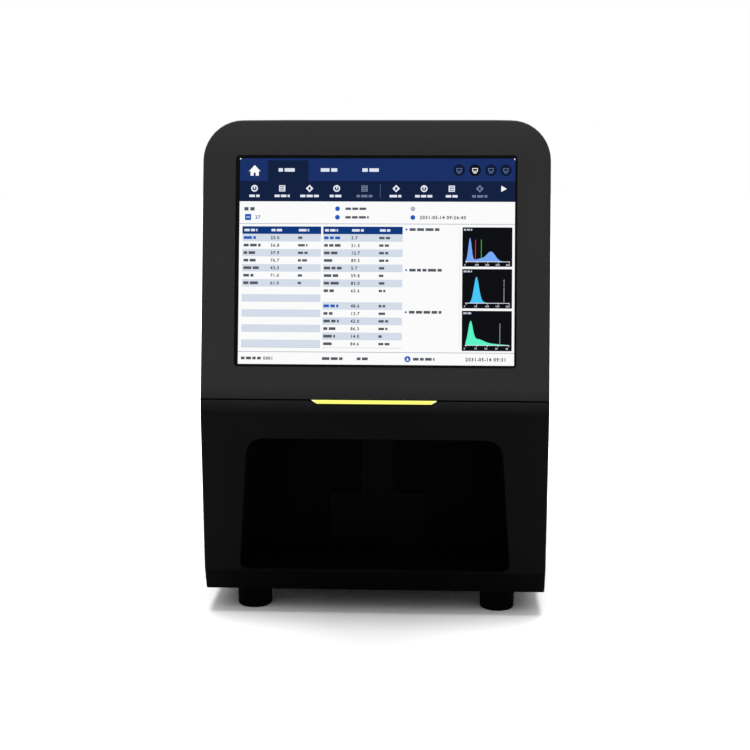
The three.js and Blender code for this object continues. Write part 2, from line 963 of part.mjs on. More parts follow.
// Side door with a hinge barrel at its rear edge and a finger pull near its front edge
{
  const plate = pushX(roundedRectangle(doorY, doorZ, door.cornerRadius), [inner, half]);
  const barrelRanges = [
    from(doorZ[0], door.barrelLength),
    from(doorZ[1] - door.barrelLength, door.barrelLength),
  ];
  const barrels = barrelRanges.map((range) => rodZ(door.barrelRadius, range, doorAxis, steps.small));
  const boreRanges = [
    from(doorZ[0] - fit.overrun, door.pinGrip + fit.overrun),
    from(doorZ[1] - door.pinGrip, door.pinGrip + fit.overrun),
  ];
  const bores = boreRanges.map((range) => rodZ(pinHoleRadius, range, doorAxis, steps.small));
  const pullZ = around((doorZ[0] + doorZ[1]) / 2, door.pullLength);
  const pullY = from(door.front + door.pullInset, door.pullWidth);
  const pull = pushX(
    roundedRectangle(pullY, pullZ, door.pullRadius),
    from(half - door.pullDepth, fit.overrun),
  );
  add('side_door', cut(join(plate, ...barrels), pull, ...bores), 'coverPlastic');
}

// Hinge pins, each half in the cover and half in the door
{
  const grip = door.pinGrip - fit.seat;
  const pinRanges = {
    door_hinge_pin_upper: [doorZ[1] - grip, doorZ[1] + hingeGap + grip],
    door_hinge_pin_lower: [doorZ[0] - hingeGap - grip, doorZ[0] + grip],
  };
  for (const [name, range] of Object.entries(pinRanges)) {
    add(name, rodZ(door.pinRadius, range, doorAxis, steps.small), 'steel');
  }
}

// Base plate with turned-up flanges and a stud hole over each foot
const footX = half - foot.sideInset;
const footPlaces = {
  foot_front_left: [-footX, frontY + foot.frontInset],
  foot_front_right: [footX, frontY + foot.frontInset],
  foot_rear_left: [-footX, rearY - foot.rearInset],
  foot_rear_right: [footX, rearY - foot.rearInset],
};

{
  const frontEdge = frontLine(casing.wall).at(-1)[0] + fit.seat;
  const reach = inner - fit.seat;
  const plateY = [frontEdge, panelInnerY - fit.seat];
  const section = [
    [-reach, casing.underside], [reach, casing.underside], [reach, baseTop + base.flangeHeight],
    [reach - base.thickness, baseTop + base.flangeHeight], [reach - base.thickness, baseTop],
    [base.thickness - reach, baseTop], [base.thickness - reach, baseTop + base.flangeHeight],
    [-reach, baseTop + base.flangeHeight],
  ];
  const holes = Object.values(footPlaces).map((place) => rodZ(
    foot.studRadius + fit.seat,
    around(casing.underside, 2 * fit.overrun),
    place,
    steps.small,
  ));
  add('base_plate', cut(pushY(section, plateY), ...holes), 'sheetMetal');
}

// Rubber feet with a stud through the base plate
{
  const height = casing.underside - fit.seat;
  const profile = [
    [0, 0], [foot.radius - foot.edge, 0], [foot.radius, foot.edge], [foot.radius, height],
    [foot.studRadius, height], [foot.studRadius, baseTop + foot.studRise], [0, baseTop + foot.studRise],
  ];
  for (const [name, [x, y]] of Object.entries(footPlaces)) {
    add(name, turnedZ(profile, steps.fine), 'rubber').position.set(x, y, 0);
  }
}

// Drawer: front with a tube shield, tray, two guide arms and a rack
const pitchRadius = (pinion.module * pinion.teeth) / 2;
const toothPitch = Math.PI * pinion.module;
const rackTip = drawerBottom + drawer.rackClearance;
const pitchLine = rackTip + pinion.module;
const pinionAxisZ = pitchLine - pitchRadius;
const trayFloor = drawerBottom + drawer.floorRise;
const trayTop = trayFloor + drawer.floorThickness;
const armZ = from(drawerBottom + drawer.armRise, drawer.armHeight);
const drawerBackY = drawerFrontY + drawer.frontThickness;
const lapY = drawerFrontY + drawer.frontThickness / 2;
const rackX = from(drawer.rackInner, drawer.rackWidth);

// Straight-sided rack teeth that point down, one of their gaps over the pinion
function rackOutline(startY, length) {
  const taper = pinion.module * Math.tan(THREE.MathUtils.degToRad(pinion.pressureDegrees));
  const halfTooth = toothPitch / 4 - pinion.backlash / 2;
  const root = pitchLine + pinion.module + pinion.clearance;
  const rootHalf = halfTooth + taper + pinion.clearance * (taper / pinion.module);
  const firstGap = Math.ceil((startY - tubeY) / toothPitch);
  const lastGap = Math.floor((startY + length - tubeY) / toothPitch);
  const teeth = Array.from({ length: lastGap - firstGap }, (unused, i) => {
    const middle = tubeY + (firstGap + i + 1 / 2) * toothPitch;
    return [
      [middle - rootHalf, root], [middle - halfTooth + taper, rackTip],
      [middle + halfTooth - taper, rackTip], [middle + rootHalf, root],
    ];
  }).flat();
  const roof = root + drawer.rackHeight;
  return [[startY, root], ...teeth, [startY + length, root], [startY + length, roof], [startY, roof]];
}

{
  const front = pushY(drawerFrontOutline(0), [drawerFrontY, drawerBackY]);
  const trayY = [lapY, drawerBackY + drawer.trayLength];
  const floor = box([-drawer.trayHalfWidth, drawer.trayHalfWidth], trayY, [trayFloor, trayTop]);
  const walls = [-1, 1].map((side) => box(
    around(side * (drawer.trayHalfWidth - drawer.trayWall / 2), drawer.trayWall),
    trayY,
    [trayFloor, trayTop + drawer.trayWallHeight],
  ));
  const arms = [-1, 1].map((side) => box(
    around(side * (drawer.armHalfSpread + drawer.armWidth / 2), drawer.armWidth),
    from(lapY, drawer.armLength),
    armZ,
  ));
  const rack = pushX(rackOutline(lapY, drawer.rackLength), rackX);
  add('sample_drawer', join(front, floor, ...walls, ...arms, rack), 'blackPlastic');
}

// Tube holder: a block with a round well for one sample tube
const holderBottom = trayTop + fit.seat;
const holderTop = holderBottom + holder.height;
const wellFloor = holderTop - holder.wellDepth;

{
  const block = pushZ(
    roundedRectangle(around(0, 2 * holder.halfWidth), around(tubeY, holder.length), holder.cornerRadius),
    [holderBottom, holderTop],
  );
  const well = rodZ(tube.wellRadius, from(wellFloor, holder.wellDepth + fit.overrun), [0, tubeY]);
  add('tube_holder', cut(block, well), 'whitePlastic');
}

// Drawer guides: two channels on the base plate
const guideInner = drawer.armHalfSpread + drawer.armWidth + fit.slide;
const guideY = [liningBackY + fit.reveal, lapY + drawer.armLength];

{
  const low = armZ[0] - fit.slide;
  const high = armZ[1] + fit.slide;
  const outer = guideInner + guide.web;
  const open = guideInner - guide.lip;
  const section = [
    [guideInner - guide.footWidth, seatOnBase], [outer, seatOnBase], [outer, high + guide.flange],
    [open, high + guide.flange], [open, high], [guideInner, high], [guideInner, low], [open, low],
    [open, low - guide.flange], [guideInner, low - guide.flange],
    [guideInner, seatOnBase + guide.flange], [guideInner - guide.footWidth, seatOnBase + guide.flange],
  ];
  const mirrored = section.map(([x, z]) => [-x, z]).reverse();
  const shaftHole = rodX(
    drawerMotor.shaftRadius + fit.run,
    around(guideInner, 2 * fit.overrun),
    [tubeY, pinionAxisZ],
    steps.small,
  );
  add('drawer_guide_left', pushY(mirrored, guideY), 'aluminium');
  add('drawer_guide_right', cut(pushY(section, guideY), shaftHole), 'aluminium');
}

// Drawer motor beside the right guide, with its shaft through the pinion
{
  const face = guideInner + guide.web + fit.seat;
  const body = rodX(drawerMotor.radius, from(face, drawerMotor.length), [tubeY, pinionAxisZ]);
  const shaft = rodX(
    drawerMotor.shaftRadius,
    [rackX[0], face + fit.overrun],
    [tubeY, pinionAxisZ],
    steps.small,
  );
  add('drawer_motor', join(body, shaft), 'motorBlack');
}

// Pinion with involute flanks, a tooth pointing up into the rack
{
  const pressure = THREE.MathUtils.degToRad(pinion.pressureDegrees);
  const baseRadius = pitchRadius * Math.cos(pressure);
  const tipRadius = pitchRadius + pinion.module * pinion.tipShare;
  const rootRadius = pitchRadius - pinion.module - pinion.clearance;
  const involute = (angle) => Math.tan(angle) - angle;
  const halfAngleAt = (radius) => {
    const rolled = Math.acos(Math.min(1, baseRadius / radius));
    const play = pinion.backlash / 2 / pitchRadius;
    return Math.PI / (2 * pinion.teeth) + involute(pressure) - involute(rolled) - play;
  };
  const radii = [rootRadius, baseRadius, pitchRadius, tipRadius];
  const flank = radii.map((radius) => [radius, halfAngleAt(radius)]);
  const tooth = [...flank.map(([r, a]) => [r, -a]), ...flank.reverse().map(([r, a]) => [r, a])];
  const points = Array.from({ length: pinion.teeth }, (unused, i) => {
    const middle = Math.PI / 2 + (i / pinion.teeth) * 2 * Math.PI;
    return tooth.map(([r, a]) => [r * Math.cos(middle + a), r * Math.sin(middle + a)]);
  }).flat();
  const wheel = pushX(points, rackX, { holes: [circle(pinion.boreRadius, [0, 0], steps.small)] });
  add('drawer_pinion', wheel, 'whitePlastic').position.set(0, tubeY, pinionAxisZ);
}

// Heights of the probe and its lift, worked up from the tube
const wipeBottom = wellFloor + tube.length + tube.clearance;
const wipeTop = wipeBottom + wipe.height;
const armBottom = wipeTop + fit.seat;
const armTop = armBottom + carriage.plateThickness;
const probeTip = wipeBottom + probe.tipInset;
const liftTravel = probeTip - wellFloor - probe.tipGap;
const holderLow = armTop + carriage.plateThickness;
const holderRest = [holderLow + liftTravel, holderLow + liftTravel + lift.holderHeight];
const upperArm = from(holderRest[1] + carriage.headroom, carriage.plateThickness);

const chassisRight = chassis.left + chassis.thickness;
const railX = from(chassisRight + fit.seat, rail.width);
const beltAxisZ = rail.centreHeight + belt.axisRise;
const beltX = from(railX[0] + belt.plateGap, belt.width);
const idlerY = tubeY - belt.idlerLead;
const carriageY = around(tubeY, carriage.length);
const frameX = from(railX[1] + carriage.blockOuter - carriage.plateThickness, carriage.plateThickness);
const frameY = around(tubeY, carriage.frameLength);
const screwX = -lift.screwOffset;
const rodPlaceX = -lift.rodOffset;

// Chassis plate with a foot flange, the idler stud and the drive shaft hole
{
  const frontEdge = liningBackY + chassis.frontGap;
  const backEdge = electronicsFront - fit.seat;
  const roof = beltAxisZ + motor.size / 2 + chassis.topMargin;
  const plate = box([chassis.left, chassisRight], [frontEdge, backEdge], [seatOnBase, roof]);
  const flange = box(
    from(chassis.left - chassis.footWidth, chassis.footWidth + chassis.thickness),
    [frontEdge, backEdge],
    from(seatOnBase, chassis.thickness),
  );
  const stud = rodX(
    motor.shaftRadius,
    [chassis.left, beltX[1] + belt.flangeThickness],
    [idlerY, beltAxisZ],
    steps.small,
  );
  const hole = rodX(
    motor.shaftRadius + fit.run,
    around(chassis.left, 2 * fit.overrun),
    [driveY, beltAxisZ],
    steps.small,
  );
  add('chassis_plate', cut(join(plate, flange, stud), hole), 'sheetMetal');
}

// Traverse rail: a grooved steel bar on the chassis plate
{
  const [left, right] = railX;
  const z = rail.centreHeight;
  const tall = rail.height / 2;
  const groove = rail.grooveHeight / 2;
  const waist = (left + right) / 2;
  const section = [
    [left, z - tall], [right, z - tall], [right, z - groove], [waist + rail.neck / 2, z],
    [right, z + groove], [right, z + tall], [left, z + tall],
  ];
  const rearEnd = wbcY + carriage.length / 2 + rail.rearMargin;
  add('traverse_rail', pushY(section, [carriageY[0], rearEnd]), 'steel');
}

// Probe carriage: block on the rail, belt clamp and the C-shaped lift frame
{
  const blockX = [railX[0] + carriage.plateGap, frameX[1]];
  const blockZ = around(rail.centreHeight, carriage.blockHeight);
  const block = box(blockX, carriageY, blockZ);
  const railRoom = box(
    [railX[0] - fit.overrun, railX[1] + fit.slide],
    grown(carriageY, fit.overrun),
    grown(around(rail.centreHeight, rail.height), fit.slide),
  );
  const strandZ = beltAxisZ - belt.pulleyRadius - fit.run - belt.thickness;
  const jawX = [beltX[0] + carriage.clampInset, beltX[1] + fit.slide + carriage.clampJaw];
  const jawY = from(carriageY[1] - carriage.clampLength, carriage.clampLength);
  const strandRoom = grown(from(strandZ, belt.thickness), fit.run);
  const jaws = box(jawX, jawY, [blockZ[1] - carriage.clampJaw, strandRoom[1] + carriage.clampJaw]);
  const strand = box([jawX[0] - fit.overrun, beltX[1] + fit.slide], grown(jawY, fit.overrun), strandRoom);
  const wall = box(frameX, frameY, [armBottom, upperArm[1]]);
  const armX = from(frameX[0], carriage.armReach);
  const arms = [[armBottom, armTop], upperArm].map((zs) => box(armX, frameY, zs));
  const bothArms = grown([armBottom, upperArm[1]], fit.overrun);
  const holes = [
    rodZ(lift.screwRadius + fit.run, bothArms, [screwX, tubeY], steps.small),
    rodZ(lift.rodRadius + fit.run, bothArms, [rodPlaceX, tubeY], steps.small),
    rodZ(wipe.boreRadius, grown([armBottom, armTop], fit.overrun), [0, tubeY], steps.small),
  ];
  add('probe_carriage', cut(join(block, jaws, wall, ...arms), railRoom, strand, ...holes), 'aluminium');
}

// Timing belt loop with its two pulleys
{
  const inside = belt.pulleyRadius + fit.run;
  const loop = (radius) => {
    const ends = [[driveY, -Math.PI / 2], [idlerY, Math.PI / 2]];
    return ends.flatMap(([y, start]) => Array.from({ length: steps.small + 1 }, (unused, i) => {
      const angle = start + (i / steps.small) * Math.PI;
      return [y + radius * Math.cos(angle), beltAxisZ + radius * Math.sin(angle)];
    }));
  };
  add('traverse_belt', pushX(loop(inside + belt.thickness), beltX, { holes: [loop(inside)] }), 'rubber');

  const lip = belt.flangeThickness;
  const bore = belt.pulleyBoreRadius;
  const wide = belt.width + 2 * fit.seat;
  const profile = [
    [bore, -lip], [belt.flangeRadius, -lip], [belt.flangeRadius, 0], [belt.pulleyRadius, 0],
    [belt.pulleyRadius, wide], [bore, wide], [bore, -lip],
  ];
  const wheels = { traverse_pulley: driveY, traverse_idler: idlerY };
  for (const [name, y] of Object.entries(wheels)) {
    const wheel = turned(profile).rotateZ(-Math.PI / 2);
    add(name, wheel, 'aluminium').position.set(beltX[0] - fit.seat, y, beltAxisZ);
  }
}

// Square stepper motor, its face at zero and its shaft out of the face
function stepper(shaftLength, bore = 0) {
  const size = around(0, motor.size);
  const can = pushZ(roundedRectangle(size, size, motor.corner), [-motor.length, 0]);
  if (bore > 0) {
    return cut(can, rodZ(bore, grown([-motor.length, 0], fit.overrun), [0, 0], steps.small));
  }
  return join(can, rodZ(motor.shaftRadius, [-fit.overrun, shaftLength], [0, 0], steps.small));
}

{
  const drive = add('traverse_motor', stepper(beltX[1] - chassis.left), 'motorBlack');
  drive.rotation.y = Math.PI / 2;
  drive.position.set(chassis.left - fit.seat, driveY, beltAxisZ);
}

// Lift motor on the upper arm; the screw below it has its own coupling
const liftFace = upperArm[1] + fit.seat;
{
  const can = pushZ(
    roundedRectangle(around(screwX, motor.size), around(tubeY, motor.size), motor.corner),
    from(liftFace, motor.length),
  );
  add('lift_motor', can, 'motorBlack');
}

add('lift_screw', rodZ(lift.screwRadius, [armBottom, upperArm[1]], [screwX, tubeY]), 'steel');
add('lift_rod', rodZ(lift.rodRadius, [armBottom, upperArm[1]], [rodPlaceX, tubeY]), 'steel');

// Probe holder on the screw and the rod, with the probe through its end
{
  const holderX = [frameX[1] + carriage.plateThickness / 2, lift.holderSide];
  const block = box(holderX, around(tubeY, lift.holderDepth), holderRest);
  const through = grown(holderRest, fit.overrun);
  const holes = [
    rodZ(lift.screwRadius + fit.run, through, [screwX, tubeY]),
    rodZ(lift.rodRadius + fit.run, through, [rodPlaceX, tubeY]),
    rodZ(probe.radius + probe.boreGap, through, [0, tubeY], steps.small),
  ];
  add('probe_holder', cut(block, ...holes), 'whitePlastic');
}

// Sample probe: a thin steel needle with a fitting at its head
{
  const headLow = holderRest[1] + fit.seat;
  const profile = [
    [0, probeTip], [probe.radius / 2, probeTip], [probe.radius, probeTip + 2 * probe.radius],
    [probe.radius, headLow], [probe.headRadius, headLow], [probe.headRadius, headLow + probe.headHeight],
    [0, headLow + probe.headHeight],
  ];
  add('sample_probe', turnedZ(profile, steps.small), 'steel').position.set(0, tubeY, 0);
}

// Probe wipe: a rinsing block under the lower arm
{
  const block = box([-wipe.halfWidth, wipe.halfWidth], around(tubeY, wipe.depth), [wipeBottom, wipeTop]);
  const bore = rodZ(wipe.boreRadius, grown([wipeBottom, wipeTop], fit.overrun), [0, tubeY], steps.small);
  const portZ = wipeBottom + wipe.height / 2;
  const side = rodX(wipe.portRadius, [0, wipe.halfWidth + fit.overrun], [tubeY, portZ], steps.small);
  add('probe_wipe', cut(block, bore, side), 'whitePlastic');
}

// Bath bracket and the two counting baths that hang in it
const bathCentres = { rbc_bath: rbcY, wbc_bath: wbcY };

{
  const leftEdge = chassisRight + fit.seat;
  const bracketEnds = grown([rbcY, wbcY], bath.flangeRadius + bathBracket.margin);
  const plate = box(
    [leftEdge, bath.flangeRadius + bathBracket.margin],
    bracketEnds,
    [bathBracket.top - bathBracket.thickness, bathBracket.top],
  );
  const skirt = box(
    from(leftEdge, chassis.thickness),
    bracketEnds,
    [bathBracket.top - bathBracket.skirt, bathBracket.top],
  );
  const holes = Object.values(bathCentres).map((y) => rodZ(
    bath.outerRadius + fit.seat,
    around(bathBracket.top, 4 * fit.overrun),
    [0, y],
  ));
  add('bath_bracket', cut(join(plate, skirt), ...holes), 'aluminium');
}

{
  const low = bath.bottom;
  const high = bath.bottom + bath.height;
  const seatZ = bathBracket.top + fit.seat;
  const profile = [
    [0, low - bath.drainLength], [bath.drainRadius, low - bath.drainLength], [bath.drainRadius, low],
    [bath.outerRadius, low + bath.floor], [bath.outerRadius, seatZ], [bath.flangeRadius, seatZ],
    [bath.flangeRadius, seatZ + bath.flangeThickness], [bath.outerRadius, seatZ + bath.flangeThickness],
    [bath.outerRadius, high], [bath.innerRadius, high], [bath.innerRadius, low + 2 * bath.floor],
    [bath.drainRadius, low + bath.floor], [0, low + bath.floor],
  ];
  for (const [name, y] of Object.entries(bathCentres)) {
    add(name, turnedZ(profile), 'clearPlastic').position.set(0, y, 0);
  }
}

// Fluidics panel: an upright plate facing the side door
const fluidicsRight = fluidics.left + fluidics.thickness;
const fluidicsY = [tubeY + drawerMotor.radius + fluidics.motorGap, electronicsFront - fit.seat];
{
  const section = [
    [fluidics.left, seatOnBase], [fluidicsRight + fluidics.footWidth, seatOnBase],
    [fluidicsRight + fluidics.footWidth, seatOnBase + fluidics.thickness],
    [fluidicsRight, seatOnBase + fluidics.thickness], [fluidicsRight, seatOnBase + fluidics.height],
    [fluidics.left, seatOnBase + fluidics.height],
  ];
  add('fluidics_panel', pushY(section, fluidicsY), 'sheetMetal');
}

// Syringes: a barrel with two blocks, a plunger that runs through its motor, and the motor
const syringeX = fluidicsRight + fit.seat + motor.size / 2;
for (const { name, placeShare, outerRadius } of syringes) {
  const centre = THREE.MathUtils.lerp(...fluidicsY, placeShare);
  const bore = outerRadius - syringe.wall;
  const pistonTop = syringe.bottom + syringe.travel + syringe.pistonHeight + syringe.pistonTopGap;
  const pistonBottom = pistonTop - syringe.pistonHeight;
  const barrelTop = pistonTop + syringe.headHeight;
  const blockX = [fluidicsRight + fit.seat, syringeX + outerRadius + syringe.blockMargin];
  const blockY = grown(around(centre, 2 * outerRadius), syringe.blockMargin);
  const place = [syringeX, centre];
  const barrel = join(
    rodZ(outerRadius, [syringe.bottom, barrelTop], place),
    box(blockX, blockY, from(syringe.bottom, syringe.collarHeight)),
    box(blockX, blockY, [barrelTop - syringe.headHeight, barrelTop]),
    rodZ(
      syringe.nozzleRadius,
      [barrelTop - fit.overrun, barrelTop + syringe.nozzleHeight],
      place,
      steps.small,
    ),
  );
  const boreRoom = rodZ(bore, [syringe.bottom - fit.overrun, pistonTop + syringe.pistonTopGap], place);
  add(`${name}_syringe_barrel`, cut(barrel, boreRoom), 'clearPlastic');

  const profile = [
    [0, syringe.rodEnd], [syringe.rodRadius, syringe.rodEnd], [syringe.rodRadius, pistonBottom],
    [bore - fit.run, pistonBottom], [bore - fit.run, pistonTop], [0, pistonTop],
  ];
  add(`${name}_syringe_plunger`, turnedZ(profile), 'whitePlastic').position.set(syringeX, centre, 0);

  const motorTop = syringe.motorBottom + motor.length;
  add(`${name}_syringe_motor`, stepper(0, syringe.rodRadius + fit.run), 'motorBlack')
    .position.set(syringeX, centre, motorTop);
}

// Waste pump: a square head on the panel with its motor behind and two ports on top
{
  const headX = from(fluidicsRight + fit.seat, pump.bodyDepth);
  const centre = electronicsFront - pump.rearInset;
  const headY = around(centre, pump.bodySize);
  const headZ = around(pump.centreHeight, pump.bodySize);
  const head = pushX(roundedRectangle(headY, headZ, motor.corner), headX);
  const can = rodX(
    pump.motorRadius,
    [headX[1] - fit.overrun, headX[1] + pump.motorLength],
    [centre, pump.centreHeight],
  );
  const portX = (headX[0] + headX[1]) / 2;
  const ports = [-1, 1].map((side) => rodZ(
    pump.portRadius,
    [headZ[1] - fit.overrun, headZ[1] + pump.portLength],
    [portX, centre + side * pump.portSpread],
    steps.small,
  ));
  add('waste_pump', join(head, can, ...ports), 'blackPlastic');
}

// Electronics panel: an upright plate across the casing, with standoffs for the board
const boardX = around(0, board.width);
const boardZ = from(board.bottom, board.height);
const boardY = from(electronicsBack + electronics.standoffHeight + fit.seat, board.thickness);

{
  const reach = inner - base.thickness - 2 * fit.seat;
  const roof = top - casing.topRadius - electronics.topMargin;
  const section = [
    [electronicsFront, seatOnBase], [electronicsBack + electronics.footWidth, seatOnBase],
    [electronicsBack + electronics.footWidth, seatOnBase + electronics.thickness],
    [electronicsBack, seatOnBase + electronics.thickness], [electronicsBack, roof], [electronicsFront, roof],
  ];
  const places = [grown(boardX, -electronics.standoffInset), grown(boardZ, -electronics.standoffInset)];
  const standoffs = places[0].flatMap((x) => places[1].map((z) => rodY(
    electronics.standoffRadius,
    [electronicsFront, electronicsBack + electronics.standoffHeight],
    [x, z],
    steps.small,
  )));
  add('electronics_panel', join(pushX(section, [-reach, reach]), ...standoffs), 'sheetMetal');
}

// Main board with its tallest components
{
  const plate = box(boardX, boardY, boardZ);
  const chips = board.chipSizes.map(([w, h, d], i) => {
    const [shareX, shareZ] = board.chipPlaceShares[i];
    const x = THREE.MathUtils.lerp(boardX[0], boardX[1], shareX);
    const z = THREE.MathUtils.lerp(boardZ[0], boardZ[1], shareZ);
    return box(around(x, w), [boardY[0] + board.thickness / 2, boardY[1] + d], around(z, h));
  });
  add('main_board', join(plate, ...chips), 'circuitBoard');
}

// Power supply: a steel box on the panel's foot, with grooves pressed in its lid
{
  const supplyX = from(supply.sideGap - inner, supply.width);
  const supplyY = from(electronicsBack + fit.seat, supply.depth);
  const supplyZ = from(seatOnBase + electronics.thickness + fit.seat, supply.height);
  const can = box(supplyX, supplyY, supplyZ);
  const grooves = Array.from({ length: supply.grooveCount }, (unused, i) => box(
    from(supplyX[0] + supply.groovePitch * (i + 1), supply.grooveWidth),
    grown(supplyY, -supply.groovePitch),
    from(supplyZ[1] - supply.grooveDepth, fit.overrun),
  ));
  add('power_supply', cut(can, ...grooves), 'sheetMetal');
}

// Outlet grille: ring slots cut in the rear panel, held by four spokes
const fanPlace = [fan.centreX, top - fan.topDrop];

function grilleSlots(ys) {
  const pitch = (fan.boreRadius - fan.hubRadius) / fan.grilleRings;
  const rings = Array.from({ length: fan.grilleRings }, (unused, i) => {
    const outer = fan.hubRadius + (i + 1) * pitch;
    const inside = circle(outer - pitch + fan.grilleBar, fanPlace, steps.fine);
    return pushY(circle(outer, fanPlace, steps.fine), ys, { holes: [inside] });
  });
  const bars = [0, 1].map((turn) => {
    const across = grown(around(0, 2 * fan.boreRadius), fan.grilleBar);
    const thin = around(0, 2 * fan.grilleBar);
    const bar = box(across, grown(ys, fit.overrun), thin);
    return bar.rotateY(Math.PI / 4 + (turn * Math.PI) / 2).translate(fanPlace[0], 0, fanPlace[1]);
  });
  return rings.map((ring) => cut(ring, ...bars));
}

// Rear panel with the fan grille, the power module hole and the connector holes
const inletMiddle = inlet.sideInset - half;
const inletX = around(inletMiddle, inlet.flangeWidth);
const inletZ = from(inlet.bottom, inlet.flangeHeight);
const portX = half - port.sideInset;
const portHeights = port.names.map((unused, i) => port.firstHeight + i * port.pitch);

{
  const through = grown([panelInnerY, rearY], fit.overrun);
  const plate = pushY(archOutline(casing.wall + fit.seat, casing.underside), [panelInnerY, rearY]);
  const inletMargin = fit.seat - inlet.bodyMargin;
  const inletHole = box(grown(inletX, inletMargin), through, grown(inletZ, inletMargin));
  const jackHoles = [usb, network].map((size) => box(
    grown(around(size.centreX, size.width), fit.seat),
    through,
    grown(from(size.bottom, size.height), fit.seat),
  ));
  const portHoles = portHeights.map((z) => rodY(port.threadRadius + fit.seat, through, [portX, z]));
  const spread = fan.screwSpread / 2;
  const fanScrews = [-spread, spread].flatMap((x) => [-spread, spread].map((z) => rodY(
    fan.screwRadius,
    through,
    [fanPlace[0] + x, fanPlace[1] + z],
    steps.small,
  )));
  const holes = [inletHole, ...jackHoles, ...portHoles, ...fanScrews, ...grilleSlots(through)];
  add('rear_panel', cut(plate, ...holes), 'sheetMetal');
}

// Fan: square frame with a motor base on four arms, and a rotor on its spindle
const fanY = [panelInnerY - fit.seat - fan.depth, panelInnerY - fit.seat];
{
  const frameX = around(fanPlace[0], fan.size);
  const frameZ = around(fanPlace[1], fan.size);
  const frame = cut(
    pushY(roundedRectangle(frameX, frameZ, fan.cornerRadius), fanY),
    rodY(fan.boreRadius, grown(fanY, fit.overrun), fanPlace, steps.fine),
  );
  const armY = from(fanY[0], fan.armThickness);
  const armSpan = around(0, 2 * fan.boreRadius + fan.armThickness);
  const arms = [0, 1].map((turn) => box(armSpan, armY, around(0, fan.armWidth))
    .rotateY(Math.PI / 4 + (turn * Math.PI) / 2)
    .translate(fanPlace[0], 0, fanPlace[1]));
  const hub = rodY(fan.hubRadius, armY, fanPlace);
  const spindle = rodY(fan.spindleRadius, [armY[0], armY[1] + fan.hubDepth / 2], fanPlace, steps.small);
  add('fan_frame', join(frame, ...arms, hub, spindle), 'blackPlastic');

  const rotorY = from(armY[1] + fit.reveal, fan.hubDepth);
  const boreY = [rotorY[0] - fit.overrun, rotorY[0] + fan.hubDepth * fan.hubBoreShare];
  const rotorHub = cut(
    rodY(fan.hubRadius, rotorY, [0, 0]),
    rodY(fan.spindleRadius + fit.run, boreY, [0, 0], steps.small),
  );
  const bladeX = [fan.hubRadius - fan.bladeThickness, fan.bladeReach];
  const blades = Array.from({ length: fan.bladeCount }, (unused, i) => {
    const blade = box(bladeX, around(0, fan.bladeThickness), around(0, fan.bladeChord));
    return blade
      .rotateX(Math.PI / 2 - THREE.MathUtils.degToRad(fan.bladePitchDegrees))
      .translate(0, (rotorY[0] + rotorY[1]) / 2, 0)
      .rotateY((i / fan.bladeCount) * 2 * Math.PI);
  });
  add('fan_rotor', join(rotorHub, ...blades), 'blackPlastic').position.set(fanPlace[0], 0, fanPlace[1]);
}

// Power module: one moulding with the mains socket, the fuse drawer and the rocker cavity
const socketZ = from(inlet.bottom + inlet.socketRise, inlet.socketHeight);
const fuseZ = from(inlet.bottom + inlet.fuseRise, inlet.fuseHeight);
const rockerZ = from(inlet.bottom + inlet.rockerRise, inlet.rockerHeight);
const flangeY = from(rearY + fit.seat, inlet.flangeThickness);
{
  const flange = pushY(roundedRectangle(inletX, inletZ, inlet.flangeRadius), flangeY);
  const body = box(
    grown(inletX, -inlet.bodyMargin),
    [flangeY[1] - inlet.bodyDepth, flangeY[0] + inlet.flangeThickness / 2],
    grown(inletZ, -inlet.bodyMargin),
  );
  const cavity = (wide, zs, depth) => box(
    around(inletMiddle, wide),
    from(flangeY[1] - depth, depth + fit.overrun),
    zs,
  );
  const middle = (socketZ[0] + socketZ[1]) / 2;
  const pins = [-inlet.pinSpread, 0, inlet.pinSpread].map((x) => box(
    around(inletMiddle + x, inlet.pinThickness),
    from(flangeY[1] - inlet.socketDepth - inlet.pinThickness, inlet.pinLength),
    around(middle + (x === 0 ? inlet.pinOffset : -inlet.pinOffset), inlet.pinWidth),
  ));
  const hollowed = cut(
    join(flange, body),
    cavity(inlet.socketWidth, socketZ, inlet.socketDepth),
    cavity(inlet.fuseWidth, fuseZ, inlet.fuseDepth),
    cavity(inlet.rockerWidth, rockerZ, inlet.rockerDepth),
  );
  add('power_inlet', join(hollowed, ...pins), 'blackPlastic');

  const fuseX = around(inletMiddle, inlet.fuseWidth - 2 * fit.slide);
  const fuseFaceY = [flangeY[1] - inlet.flangeThickness, flangeY[1]];
  const fuseTrayY = [flangeY[1] - inlet.fuseDepth + fit.slide, flangeY[1] - inlet.flangeThickness / 2];
  const fuseTrayZ = grown(fuseZ, -fit.slide - inlet.fuseTrayInset);
  const fuseFace = box(fuseX, fuseFaceY, grown(fuseZ, -fit.slide));
  const fuseTray = box(grown(fuseX, -inlet.fuseTrayInset), fuseTrayY, fuseTrayZ);
  const fuseRoom = box(
    grown(fuseX, -inlet.fuseTrayInset - inlet.fuseTrayWall),
    [fuseTrayY[0] + inlet.fuseTrayWall, fuseFaceY[0] - inlet.fuseTrayWall],
    [fuseTrayZ[0] + inlet.fuseTrayWall, fuseZ[1] + fit.overrun],
  );
  add('fuse_drawer', cut(join(fuseFace, fuseTray), fuseRoom), 'blackPlastic');
}

